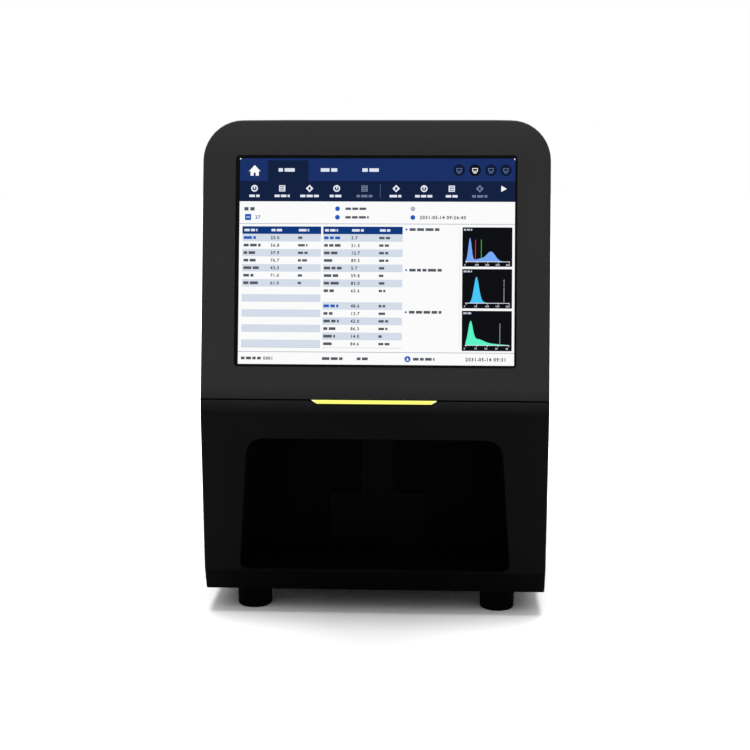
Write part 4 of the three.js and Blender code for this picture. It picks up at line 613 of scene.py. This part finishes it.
shape = bmesh.new()
section = ((gasket_low, gasket_back), (gasket_low, 0), (gasket_low / 2, gasket_proud),
           (gasket_high / 2, gasket_proud), (gasket_high, 0), (gasket_high, gasket_back))
skinned(shape, [[shape.verts.new(slope_foot + Vector((x, 0, 0)) + up_slope * u + off_slope * v) for u, v in section]
                for x in (-gasket_half, gasket_half)])
gasket_black = moulded("black gasket", (0.0007, 0.0007, 0.0007), roughness=0.9, specular=0)
placed("seam_gasket", crisp_mesh("seam_gasket", shape), gasket_black, "casing", "foot_rubber")


# Bay liner: a thin black tray that closes the bay to the back and the sides,
# moulded in matt black and clipped behind the opening.
bay_plastic = moulded("matt black moulding", (0.0010, 0.0010, 0.0011), roughness=0.75, specular=0.02)
eased("bay_liner", "bay_tray", bay_plastic, "bay_plastic", moulding_edge)


# Main cover: one arched wrap over both sides and the top, moulded with the front parts'
# texture, with vent slots in the left wall and a doorway in the right one.
wrap_edge = 0.7

eased("main_cover", "main_cover_wrap", cover_plastic, "cover_plastic", wrap_edge)


# Dust screen: a coarse black gauze of upright and level threads, heat-staked
# inside the vent slots.
gauze_wall = -129.35 * MM
gauze_near, gauze_far, gauze_low, gauze_high = 56 * MM, 120 * MM, 185 * MM, 286 * MM
gauze_thread, gauze_pitch, gauze_lift = 0.5 * MM, 2.6 * MM, 0.55 * MM
upright_count, level_count = 25, 39


def growing_tree(name, *inputs):
    """A geometry tree with its named inputs, and the node that hands them in."""
    tree = bpy.data.node_groups.new(name, "GeometryNodeTree")
    for label, kind in (("Geometry", "Geometry"), *inputs, ("Finish", "Material")):
        tree.interface.new_socket(label, in_out="INPUT", socket_type="NodeSocket" + kind)
    tree.interface.new_socket("Geometry", in_out="OUTPUT", socket_type="NodeSocketGeometry")
    return tree, tree.nodes.new("NodeGroupInput")


def hand_out(tree, given, grown):
    """Ends a geometry tree: what has grown is made real, takes its finish and is handed out."""
    finished = node(tree, "SetMaterial", node(tree, "RealizeInstances", grown), Material=(given, "Finish"))
    feed(tree, tree.nodes.new("NodeGroupOutput"), finished)


def grown_mesh(name, mesh, tree, **values):
    """Runs a geometry tree over a mesh, with its inputs set, and returns the plain result."""
    carrier = bpy.data.objects.new(name, mesh)
    bpy.context.scene.collection.objects.link(carrier)
    grower = carrier.modifiers.new(name, "NODES")
    grower.node_group = tree
    for label, value in values.items():
        grower[tree.interface.items_tree[label].identifier] = value
    bpy.context.view_layer.update()
    evaluated = carrier.evaluated_get(bpy.context.evaluated_depsgraph_get())
    grown = bpy.data.meshes.new_from_object(evaluated)
    grown.name = name
    carrier.modifiers.remove(grower)
    bpy.data.objects.remove(carrier)
    grown.materials.clear()
    return grown


def block(shape, low, high, finish=0):
    """Adds a closed block to a shape, from its lowest corner to its highest."""
    size = [b - a for a, b in zip(low, high)]
    middle = [(a + b) / 2 for a, b in zip(low, high)]
    turn = Matrix.Translation(middle) @ Matrix.Diagonal((*size, 1))
    for vertex in bmesh.ops.create_cube(shape, size=1, matrix=turn)["verts"]:
        for face in vertex.link_faces:
            face.material_index = finish


rows_tree, given = growing_tree("threads in rows", ("Count", "Int"), ("Step", "Vector"))
row = node(rows_tree, "MeshLine", Count=(given, "Count"), Offset=(given, "Step"))
hand_out(rows_tree, given, node(rows_tree, "InstanceOnPoints", row, Instance=(given, "Geometry")))

gauze_plastic = moulded("woven black gauze", (0.012, 0.012, 0.012), roughness=0.8, grain=0.2)
for name, count, wall, far, high, step in (
        ("vent_gauze_upright", upright_count, gauze_wall, gauze_near + gauze_thread, gauze_high, (0, gauze_pitch, 0)),
        ("vent_gauze_level", level_count, gauze_wall + gauze_lift, gauze_far, gauze_low + gauze_thread,
         (0, 0, gauze_pitch))):
    shape = bmesh.new()
    block(shape, (wall, gauze_near, gauze_low), (wall + gauze_thread, far, high))
    threads = grown_mesh(name, from_shape(name, shape), rows_tree, Count=count, Step=step, Finish=gauze_plastic)
    placed(name, threads, gauze_plastic, "casing", "connector_plastic")


# Side door: the moulded reagent-side door, flush in the right wall, with a finger pull.
# It turns on two ground steel pins pressed into the main cover.
fine_edge = 0.2

ground_steel = plated("ground steel", (0.62, 0.63, 0.64), 0.22, lines=(30, 30, 400))
eased("side_door", "side_door_panel", cover_plastic, "cover_plastic", moulding_edge, "side_door")
for end in ("upper", "lower"):
    eased(f"door_hinge_pin_{end}", f"door_pin_{end}", ground_steel, "bright_steel", fine_edge)


# Base plate: a folded steel tray with a powder coat like the rear panel's. It closes
# the casing from below, and carries the works and the feet.
powder_coat = moulded("dark grey powder coat", (0.016, 0.016, 0.017), roughness=0.55, specular=0.3,
                      grain=0.9, depth=0.04)
eased("base_plate", "base_tray", powder_coat, "rear_paint", sheet_edge)


# Feet: four turned rubber feet with grip ribs and a rounded tread, each on a stud
# through the base tray.
foot_sides, foot_ribs, foot_rib_depth = 48, 3, 0.35 * MM
foot_height, foot_tread_round, foot_rim = 17.3 * MM, 1.6 * MM, 0.4 * MM
foot_groove = ((-0.5 * MM, 0), (-0.25 * MM, 1), (0.25 * MM, 1), (0.5 * MM, 0))
foot_dimple, dimple_share, dimple_rim_share, tread_steps = 0.3 * MM, 0.45, 0.5, 6
stud_radius, stud_sunk = 4 * MM, 0.1 * MM


def turned(shape, profile, centre, axis=2, sides=32, finish=0):
    """Adds a closed turned form to a shape: (radius, height) pairs from its foot to its top."""
    rings = []
    for radius, height in profile:
        spots = [(x, y, height) for x, y in ring(radius, sides)]
        rings.append([shape.verts.new(Vector(centre) + Vector(spot[2 - axis:] + spot[:2 - axis])) for spot in spots])
    skinned(shape, rings, finish=finish)


def foot_profile(radius, stud_top):
    """The outline of a foot, from the middle of its tread up to its stud."""
    turns = [math.pi / 2 * i / tread_steps for i in range(tread_steps + 1)]
    tread = [(radius - foot_tread_round * (1 - math.sin(t)), foot_tread_round * (1 - math.cos(t))) for t in turns]
    outline = [(radius * dimple_share, foot_dimple), (radius * dimple_rim_share, 0)] + tread
    pitch = (foot_height - foot_tread_round) / (foot_ribs + 1)
    for i in range(1, foot_ribs + 1):
        middle = foot_tread_round + i * pitch
        outline += [(radius - cut * foot_rib_depth, middle + lift) for lift, cut in foot_groove]
    outline += [(radius, foot_height - foot_rim), (radius - foot_rim, foot_height)]
    return outline + [(stud_radius, foot_height), (stud_radius, stud_top)]


foot_rubber = moulded("black foot rubber", (0.0022, 0.0022, 0.0022), roughness=0.85, specular=0.02, grain=0.8)
for foot in ("front_left", "front_right", "rear_left", "rear_right"):
    low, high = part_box(f"foot_{foot}")
    middle = [(low[i] + high[i]) / 2 for i in range(2)]
    shape = bmesh.new()
    turned(shape, foot_profile((high[0] - low[0]) / 2, high[2] - stud_sunk), (*middle, 0), sides=foot_sides)
    placed(f"rubber_foot_{foot}", crisp_mesh("foot", shape), foot_rubber, "casing", "foot_rubber", f"foot_{foot}")


# Sample drawer: a matt black moulding with a shield for the probe, an open tray and a rack
# down one side, with a white acetal holder that takes one closed tube.
worked_edge, holder_edge = 0.4, 0.6

drawer_black = moulded("drawer moulding", (0.0020, 0.0020, 0.0022), roughness=0.6, specular=0.02)
acetal = moulded("white acetal", (0.72, 0.72, 0.69), roughness=0.38, specular=0.4, grain=1.2, spread=0.02)
eased("sample_drawer", "drawer_moulding", drawer_black, "connector_plastic", worked_edge, "drawer")
eased("tube_holder", "tube_holder_block", acetal, "white_acetal", holder_edge, "drawer")


# Drawer drive: two anodised guides on the base, and a small geared motor
# whose acetal pinion pulls the rack.
cap_length = 4.5 * MM
drawer_can, stepper_can = 20 * MM, 26 * MM
part_edge, tooth_edge = 0.3, 0.15

anodised = plated("clear anodised aluminium", (0.60, 0.61, 0.63), 0.3, lines=(200, 12, 12))
motor_paint = moulded("black motor paint", (0.010, 0.010, 0.011), roughness=0.45, specular=0.4, grain=0.9)


def motor(source, axis, caps, can=stepper_can, shaft_first=False):
    """A motor: a black laminated can between two caps, and a steel shaft."""
    low, high = (corner[axis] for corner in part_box(source))
    near, far = (high - can, high) if shaft_first else (low, low + can)
    eased(source, f"{source}_can", (motor_paint, caps, ground_steel), "motor_black", moulding_edge,
          bands=(axis, [near, near + cap_length, far - cap_length, far], (2, 1, 0, 1, 2)))


for side in ("left", "right"):
    eased(f"drawer_guide_{side}", f"guide_rail_{side}", anodised, "plain_aluminium", part_edge)
motor("drawer_motor", 0, motor_paint, drawer_can, shaft_first=True)
eased("drawer_pinion", "pinion_gear", acetal, "white_acetal", tooth_edge, "drawer_pinion")


# Chassis and probe traverse: a folded steel plate with a ground rail, and a carriage
# milled from aluminium that a ribbed belt pulls along it between two pulleys.
belt_rubber = moulded("ribbed belt rubber", (0.006, 0.006, 0.006), roughness=0.8, grain=0.5, specular=0.1)
milled = plated("milled aluminium", (0.66, 0.67, 0.68), 0.28, lines=(14, 14, 220))
eased("chassis_plate", "chassis_sheet", zinc_sheet, "sheet_metal", sheet_edge)
eased("traverse_rail", "linear_rail", ground_steel, "bright_steel", part_edge)
eased("probe_carriage", "carriage_frame", milled, "plain_aluminium", worked_edge, "carriage")
eased("traverse_belt", "ribbed_belt", belt_rubber, "belt_rubber", tooth_edge)
for name in ("traverse_pulley", "traverse_idler"):
    eased(name, f"{name}_wheel", milled, "plain_aluminium", fine_edge, name)
motor("traverse_motor", 0, anodised)


# Probe lift: a stepper on the carriage turns a screw beside a guide rod; the acetal holder
# rides on both and carries the sampling needle through a wash block.
needle_edge = 0.1

needle_steel = plated("polished needle steel", (0.66, 0.67, 0.68), 0.14, lines=(60, 60, 500))
low, high = (corner[2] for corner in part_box("lift_motor"))
eased("lift_motor", "lift_motor_can", (motor_paint, anodised), "motor_black", moulding_edge, "carriage",
      bands=(2, [low + cap_length, high - cap_length], (1, 0, 1)))
eased("lift_screw", "lift_screw_thread", ground_steel, "bright_steel", fine_edge, "lift_screw")
eased("lift_rod", "lift_guide_rod", ground_steel, "bright_steel", fine_edge, "carriage")
eased("probe_wipe", "wash_block", acetal, "white_acetal", moulding_edge, "carriage")
eased("probe_holder", "needle_holder", acetal, "white_acetal", moulding_edge, "probe")
eased("sample_probe", "sampling_needle", needle_steel, "bright_steel", needle_edge, "probe")


# Counting baths: two clear acrylic cups with a flange, bolted into an anodised bracket.
# The acrylic is a little hazy where it was turned.
acrylic_tint, acrylic_bend = (0.86, 0.93, 0.95, 1), 1.49
haze_scale, haze_detail, haze_least, haze_most = 220, 3, 0.02, 0.12

acrylic, tree, shader = new_finish("clear acrylic", Base_Color=acrylic_tint, Transmission_Weight=1, IOR=acrylic_bend)
haze = node(tree, "TexNoise", (node(tree, "TexCoord"), "Object"), Scale=haze_scale, Detail=haze_detail)
feed(tree, shader, Roughness=node(tree, "MapRange", haze, To_Min=haze_least, To_Max=haze_most))
eased("bath_bracket", "bath_bracket_sheet", anodised, "plain_aluminium", sheet_edge)
for name in ("rbc_bath", "wbc_bath"):
    eased(name, f"{name}_cup", acrylic, "clear_acrylic", part_edge)


# Fluidics: two syringe pumps and a waste pump on a folded plate behind the side door. Each
# barrel is clear acrylic between acetal ends; each plunger ends in a black seal.
collar_height, top_height, nozzle_height = 8 * MM, 12 * MM, 6 * MM
seal_length, pump_head_depth = 6 * MM, 24 * MM

seal_black = moulded("black seal", (0.006, 0.006, 0.006), roughness=0.6)
pump_plastic = moulded("black pump head", (0.012, 0.012, 0.013), roughness=0.5, specular=0.3)
eased("fluidics_panel", "fluidics_sheet", zinc_sheet, "sheet_metal", sheet_edge)
for kind in ("sample", "diluent"):
    motor(f"{kind}_syringe_motor", 2, anodised)
    low, high = (corner[2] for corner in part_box(f"{kind}_syringe_barrel"))
    eased(f"{kind}_syringe_barrel", f"{kind}_barrel", (acetal, acrylic), "clear_acrylic", part_edge,
          bands=(2, [low + collar_height, high - nozzle_height - top_height], (0, 1, 0)))
    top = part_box(f"{kind}_syringe_plunger")[1][2]
    eased(f"{kind}_syringe_plunger", f"{kind}_plunger", (acetal, seal_black), "white_acetal", part_edge,
          f"{kind}_plunger", bands=(2, [top - seal_length], (0, 1)))
pump_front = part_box("waste_pump")[0][0]
eased("waste_pump", "diaphragm_pump", (pump_plastic, ground_steel), "connector_plastic", moulding_edge,
      bands=(0, [pump_front + pump_head_depth], (0, 1)))


# Electronics: a folded plate across the machine with the main board and the boxed supply.
# The board's parts stand on its rear face.
board_face = 90.9 * MM

solder_mask = moulded("green solder mask", (0.012, 0.085, 0.035), roughness=0.3, specular=0.5, grain=3, spread=0.3)
chip_black = moulded("black chip", (0.01, 0.01, 0.01), roughness=0.5, specular=0.3)
supply_sheet = plated("folded supply case", (0.55, 0.56, 0.57), 0.38, lines=(160, 12, 12))
eased("electronics_panel", "electronics_sheet", zinc_sheet, "sheet_metal", sheet_edge)
eased("main_board", "board", (solder_mask, chip_black), "circuit_board", fine_edge, bands=(1, [board_face], (0, 1)))
eased("power_supply", "supply_box", supply_sheet, "supply_case", worked_edge)


# Rear panel: a flat powder-coated steel sheet with the fan grille and the connector holes,
# screwed on along its sides and top.
rear_face = 170 * MM

eased("rear_panel", "rear_sheet", powder_coat, "rear_paint", fine_edge)


# Fan: a black moulded frame screwed behind the grille, and its seven-bladed rotor.
# Both are moulded in one glass-filled plastic.
fan_plastic = moulded("fan moulding", (0.010, 0.010, 0.010), roughness=0.5, specular=0.3)
eased("fan_frame", "fan_housing", fan_plastic, "connector_plastic", moulding_edge)
eased("fan_rotor", "fan_blades", fan_plastic, "connector_plastic", part_edge, "fan_rotor")


# Mains inlet: one black module with the socket and its plated pins, the fuse tray,
# and the rocker switch with its printed marks.
pin_places, pin_half = (-95, -88, -81), 1.1
pin_depth, pin_rise = (156, 168), (44, 52.5)
mark_height, mark_from = 0.1 * MM, 200 * MM
rocker_x, rocker_on, rocker_off = -88, 88.6, 81.4
ring_inner, ring_outer, ring_corners = 1.25, 1.8, 28
stroke_half, stroke_reach = 0.3, 1.9

inlet_plastic = moulded("inlet moulding", (0.014, 0.014, 0.014), roughness=0.45, specular=0.35)
rocker_plastic = moulded("rocker moulding", (0.009, 0.009, 0.009), roughness=0.3, specular=0.4)
eased("power_inlet", "inlet_module", (inlet_plastic, ground_steel), "connector_plastic", worked_edge,
      inlaid=[((x - pin_half, x + pin_half), pin_depth, pin_rise) for x in pin_places])
eased("fuse_drawer", "fuse_tray", rocker_plastic, "connector_plastic", part_edge, "fuse_drawer")
eased("power_rocker", "rocker_key", rocker_plastic, "connector_plastic", worked_edge, "power_rocker")

rocker_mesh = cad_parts["power_rocker"].data
key = BVHTree.FromPolygons([v.co for v in rocker_mesh.vertices], [p.vertices for p in rocker_mesh.polygons])
shape = bmesh.new()


def print_rings(outline):
    """Two rings of corners, just under and just over the key, from an outline in x and z millimetres."""
    hits = [key.ray_cast(Vector((x * MM, mark_from, z * MM)), Vector((0, -1, 0)))[:2] for x, z in outline]
    return [[shape.verts.new(spot + normal * lift) for spot, normal in hits] for lift in (-mark_height, mark_height)]


stroke = [(rocker_x + x * stroke_half, rocker_on + z * stroke_reach)
          for x, z in ((-1, -1), (-1, 1), (1, 1), (1, -1))]
skinned(shape, print_rings(stroke))
under, over = print_rings(ring(ring_outer, ring_corners, (rocker_x, rocker_off)))
hole_under, hole_over = print_rings(ring(ring_inner, ring_corners, (rocker_x, rocker_off)))
skinned(shape, [under, over, hole_over, hole_under, under], caps=False)
printing = moulded("printed marks", (0.75, 0.75, 0.75), roughness=0.6, grain=0.1, spread=0.03)
placed("rocker_marks", crisp_mesh("rocker_marks", shape), printing, "power_rocker", "connector_plastic")


# Connectors: the metal shells of the data sockets with a black carrier in each, and three barbed
# fluid ports with a coloured band each, so that no bottle is joined to the wrong one.
socket_depth = (0, 171.4)
usb_span, usb_places, usb_half = (-22.2, -9.8), (48, 56), 1.1
network_span, network_rise = (5.9, 18.1), (45, 57.5)
band_from, band_to = 171.2 * MM, 172.4 * MM
band_colours = {"waste": (0.62, 0.09, 0.03), "lyse": (0.05, 0.24, 0.08), "diluent": (0.04, 0.12, 0.45)}

shell_steel = plated("nickel-plated shell", (0.36, 0.355, 0.34), 0.3)
contact_plastic = moulded("contact carrier", (0.012, 0.012, 0.013), roughness=0.5, specular=0.3)
eased("usb_ports", "data_sockets_shell", (shell_steel, contact_plastic), "bright_steel", fine_edge,
      inlaid=[(usb_span, socket_depth, (z - usb_half, z + usb_half)) for z in usb_places])
eased("network_port", "network_socket_shell", (shell_steel, contact_plastic), "bright_steel", fine_edge,
      inlaid=[(network_span, socket_depth, network_rise)])
for kind, colour in band_colours.items():
    band = moulded(f"{kind} band", colour, roughness=0.4, specular=0.3)
    eased(f"{kind}_port", f"{kind}_fitting", (acetal, band), "white_acetal", part_edge,
          bands=(1, [band_from, band_to], (0, 1, 0)))


# Fasteners: plated pan-head screws with a six-lobed drive, in the fan and along the rear panel.
# Each is driven home and stops at a turn of its own.
head_radius, head_height, head_corners = 3.3 * MM, 1.5 * MM, 36
drive_radius, drive_depth, drive_lobes, lobe_share = 1.35 * MM, 0.9 * MM, 6, 0.14
rear_seats = [(x, z) for x in (-121, 121) for z in (30, 190, 340)] + [(-60, 367), (60, 367)]
fan_centre, fan_spread, fan_screw_size = (60, 292), 35.75, 1.15
turn_seed = 7
to_rear = (-math.pi / 2, 0, 0)


def screw_head():
    """A pan head lying on the ground plane, its drive sunk in the top."""
    shape = bmesh.new()
    rings = []
    for radius, height, lobe in (
            (head_radius, 0, 0), (head_radius, 0.4, 0), (head_radius * 0.86, 0.85, 0), (head_radius * 0.55, 1, 0),
            (drive_radius * 1.04, 1, lobe_share), (drive_radius, 0.94, lobe_share),
            (drive_radius, 1 - drive_depth / head_height, lobe_share)):
        shares = [1 + lobe * math.cos(drive_lobes * 2 * math.pi * i / head_corners) for i in range(head_corners)]
        rings.append([shape.verts.new((x * share, y * share, head_height * height))
                      for (x, y), share in zip(ring(radius, head_corners), shares)])
    skinned(shape, rings)
    return crisp_mesh("screw_head", shape)


screw_tree, given = growing_tree("screws on points", ("Screw", "Object"), ("Lean", "Vector"), ("Size", "Float"))
head = (node(screw_tree, "ObjectInfo", Object=(given, "Screw")), "Geometry")
seats = node(screw_tree, "InstanceOnPoints", (given, "Geometry"), Instance=head, Rotation=(given, "Lean"),
             Scale=(given, "Size"))
chance = screw_tree.nodes.new("FunctionNodeRandomValue")
chance.data_type = "FLOAT_VECTOR"
feed(screw_tree, chance, Min=(0, 0, 0), Max=(0, 0, 2 * math.pi), Seed=turn_seed)
hand_out(screw_tree, given, node(screw_tree, "RotateInstances", seats, Rotation=chance))

screw_steel = plated("zinc-plated screw", (0.36, 0.36, 0.35), 0.36, lines=(90, 90, 90))
head_object = bpy.data.objects.new("screw_head", screw_head())


def four_corners(middle, spread):
    return [(middle[0] + i * spread, middle[1] + j * spread) for i in (-1, 1) for j in (-1, 1)]


def fastened(name, seats_at, lean, body, size=1.0):
    """Screws on their seats, each turned by its own chance, as one plain piece."""
    mesh = bpy.data.meshes.new(name)
    mesh.from_pydata(seats_at, [], [])
    screws = grown_mesh(name, mesh, screw_tree, Screw=head_object, Lean=lean, Size=size, Finish=screw_steel)
    placed(name, screws, screw_steel, body, "bright_steel")


fastened("rear_screws", [(x * MM, rear_face, z * MM) for x, z in rear_seats], to_rear, "casing")
fastened("fan_screws", [(x * MM, rear_face, z * MM) for x, z in four_corners(fan_centre, fan_spread)], to_rear,
         "casing", fan_screw_size)


# Tubes and leads: milky tubes from the rear fittings over the electronics plate to the pumps,
# thinner ones on to the baths, and sleeved motor leads that run low along the plate.
wide_tube, thin_tube, motor_lead, pump_lead = 2.1 * MM, 1.3 * MM, 1.5 * MM, 0.9 * MM
tube_sides, bend_steps = 14, 10

path_tree, given = growing_tree("tube along a path", ("Radius", "Float"), ("Sides", "Int"))
line = node(path_tree, "MeshToCurve", (given, "Geometry"))
section = node(path_tree, "CurvePrimitiveCircle", Radius=(given, "Radius"), Resolution=(given, "Sides"))
hand_out(path_tree, given, node(path_tree, "CurveToMesh", line, section, Fill_Caps=True))


def rounded_path(points):
    """A smooth line through the points, which are in millimetres."""
    knots = [Vector(p) * MM for p in points]
    knots = [2 * knots[0] - knots[1]] + knots + [2 * knots[-1] - knots[-2]]
    line = []
    for a, b, c, d in zip(knots, knots[1:], knots[2:], knots[3:]):
        for i in range(bend_steps):
            t = i / bend_steps
            line.append(0.5 * (2 * b + (c - a) * t + (2 * a - 5 * b + 4 * c - d) * t * t
                               + (3 * b - a - 3 * c + d) * t ** 3))
    return line + [knots[-2]]


def tube(name, radius, material, slot, *points):
    """A tube or lead along a smooth line, closed at both ends, fixed to the casing."""
    line = rounded_path(points)
    mesh = bpy.data.meshes.new(name)
    mesh.from_pydata(line, [(i, i + 1) for i in range(len(line) - 1)], [])
    shape = bmesh.new()
    shape.from_mesh(grown_mesh(name, mesh, path_tree, Radius=radius, Sides=tube_sides, Finish=material))
    bmesh.ops.remove_doubles(shape, verts=shape.verts, dist=merge_gap)
    placed(name, crisp_mesh(name, shape), material, "casing", slot)


milky = moulded("milky tube", (0.62, 0.65, 0.64), roughness=0.3, specular=0.5, grain=2, spread=0.04)
amber = moulded("waste tube", (0.52, 0.40, 0.16), roughness=0.3, specular=0.5, grain=2, spread=0.06)
sleeve = moulded("lead sleeve", (0.012, 0.012, 0.013), roughness=0.7, specular=0.15, grain=0.6)
red_lead = moulded("red lead", (0.42, 0.02, 0.015), roughness=0.5, specular=0.3)
tube("tube_diluent_supply", wide_tube, milky, "white_acetal",
     (96, 155, 110), (96, 148, 111), (104, 132, 122), (112, 118, 160), (113, 112, 330), (106, 96, 353),
     (98, 74, 353), (88, 50, 320), (66, 16, 262), (56.4, 4.5, 236), (56.3, 4.4, 214), (56.3, 4.4, 209))
tube("tube_lyse_supply", thin_tube, milky, "white_acetal",
     (96, 155, 80), (96, 147, 81), (107, 132, 92), (117, 118, 140), (118, 112, 328), (112, 96, 347),
     (104, 70, 347), (90, 20, 300), (66, -30, 256), (56.6, -41, 234), (56.3, -41.9, 214), (56.3, -41.9, 209))
tube("tube_waste_out", wide_tube, amber, "white_acetal",
     (96, 155, 50), (96, 146, 51), (108, 130, 62), (121, 118, 110), (123, 112, 320), (117, 96, 340),
     (108, 74, 336), (92, 70, 290), (62, 68, 200), (54.6, 60, 120), (54.3, 59, 86), (54.3, 59, 78))
tube("tube_bath_drain", thin_tube, amber, "white_acetal",
     (54.3, 43, 78), (54.3, 43, 88), (51, 41, 130), (48, 38, 210), (44, 34, 246), (34, 30, 240),
     (27, 28, 190), (24, 27, 60), (19, 22, 34), (8, 19.4, 29), (0.4, 19.2, 31), (0, 19.2, 37))
tube("tube_bath_fill_front", thin_tube, milky, "white_acetal",
     (56.3, -44.5, 207), (58, -52, 214), (54, -52, 234), (44, -44, 247), (32, -36, 236), (27, -26, 190),
     (24, -21, 120), (17, -19.4, 97), (9.8, -19.2, 96))
tube("tube_bath_fill_rear", thin_tube, milky, "white_acetal",
     (56.3, 8, 207), (60, 20, 214), (54, 22, 234), (44, 20, 247), (33, 19, 236), (27, 18, 190),
     (24, 18.6, 120), (17, 19.1, 97), (9.8, 19.2, 96))
tube("lead_sample_motor", motor_lead, sleeve, "connector_plastic",
     (64, -29, 95), (64, -24, 95), (57, -20, 80), (48, -18, 50), (47, -8, 33), (47, 30, 29), (47, 70, 29),
     (47, 80.6, 30))
tube("lead_diluent_motor", motor_lead, sleeve, "connector_plastic",
     (64, 17.5, 95), (64, 23, 94), (58, 26, 78), (52, 28, 48), (51, 34, 31), (51, 70, 29), (51, 80.6, 31))
tube("lead_pump_black", pump_lead, sleeve, "connector_plastic",
     (93.5, 48, 56), (98, 48, 55), (101, 52, 44), (92, 62, 30), (70, 73, 27), (57, 80.6, 30))
tube("lead_pump_red", pump_lead, red_lead, "connector_plastic",
     (93.5, 54, 56), (98, 54, 55), (102, 58, 44), (94, 66, 29), (72, 76, 26), (59.5, 80.6, 30))


# Works screws: small pan heads on the fluidics plate beside each pump, and on the motor caps.
# They match the ones on the rear.
plate_face, plate_screw_size = 42, 0.8
plate_seats = [(y, z) for y in (-59.4, -24.4, -13, 22) for z in (84, 98)]
plate_seats += [(y, z) for y in (-56, 74) for z in (32, 228)] + [(y, z) for y in (-41.9, 4.4) for z in (138, 222)]
cap_inset, cap_screw_size = 9.6 * MM, 0.5
to_right, upright = (0, math.pi / 2, 0), (0, 0, 0)
fastened("plate_screws", [(plate_face * MM, y * MM, z * MM) for y, z in plate_seats], to_right, "casing",
         plate_screw_size)
for source, name, body in (("sample_syringe_motor", "sample_motor_screws", "casing"),
                           ("diluent_syringe_motor", "diluent_motor_screws", "casing"),
                           ("lift_motor", "lift_motor_screws", "carriage")):
    low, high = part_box(source)
    middle = [(a + b) / 2 for a, b in zip(low, high)]
    fastened(name, [(*place, high[2]) for place in four_corners(middle, cap_inset)], upright, body, cap_screw_size)


# Board parts: electrolytic capacitors, pin headers and a finned heat sink soldered to the main board.
# They stand on its rear face; places are x and z in millimetres.
board_back = board_face - 0.05 * MM
capacitor_places = [(-88, 150), (-78, 150), (-88, 165), (-78, 165), (60, 140), (72, 140), (84, 140), (-60, 250)]
capacitor_radius, capacitor_height, capacitor_sides = 4 * MM, 11 * MM, 24
capacitor_profile = ((0.9, 0), (1, 0.03), (1, 0.1), (0.94, 0.13), (1, 0.16), (1, 0.97), (0.93, 1), (0.75, 1),
                     (0.7, 0.985))
header_height = 8
header_places = [(-95, 200, 4, 30), (-95, 245, 4, 30), (20, 294, 40, 4), (70, 294, 40, 4), (98, 200, 4, 40)]
sink_x, sink_z, sink_length, sink_base = -20, 150, 30, 3
fin_count, fin_pitch, fin_width, fin_reach, fin_sunk = 9, 4, 1.4, 14, 0.1

shape = bmesh.new()


def on_board(x, z, wide, tall, foot, top, finish):
    """A block on the board, from its middle, its size and its heights off the board, in millimetres."""
    block(shape, ((x - wide / 2) * MM, board_back + foot * MM, (z - tall / 2) * MM),
          ((x + wide / 2) * MM, board_back + top * MM, (z + tall / 2) * MM), finish)


for x, z in capacitor_places:
    outline = [(capacitor_radius * r, capacitor_height * h) for r, h in capacitor_profile]
    turned(shape, outline, (x * MM, board_back, z * MM), axis=1, sides=capacitor_sides, finish=0)
for place in header_places:
    on_board(*place, 0, header_height, finish=1)
on_board(sink_x, sink_z, fin_pitch * (fin_count - 1) + fin_width, sink_length, 0, sink_base, finish=2)
for i in range(fin_count):
    fin_x = sink_x + fin_pitch * (i - (fin_count - 1) / 2)
    on_board(fin_x, sink_z, fin_width, sink_length, sink_base - fin_sunk, fin_reach, finish=2)
placed("board_parts", crisp_mesh("board_parts", shape), (ground_steel, chip_black, anodised), "casing",
       "connector_plastic")
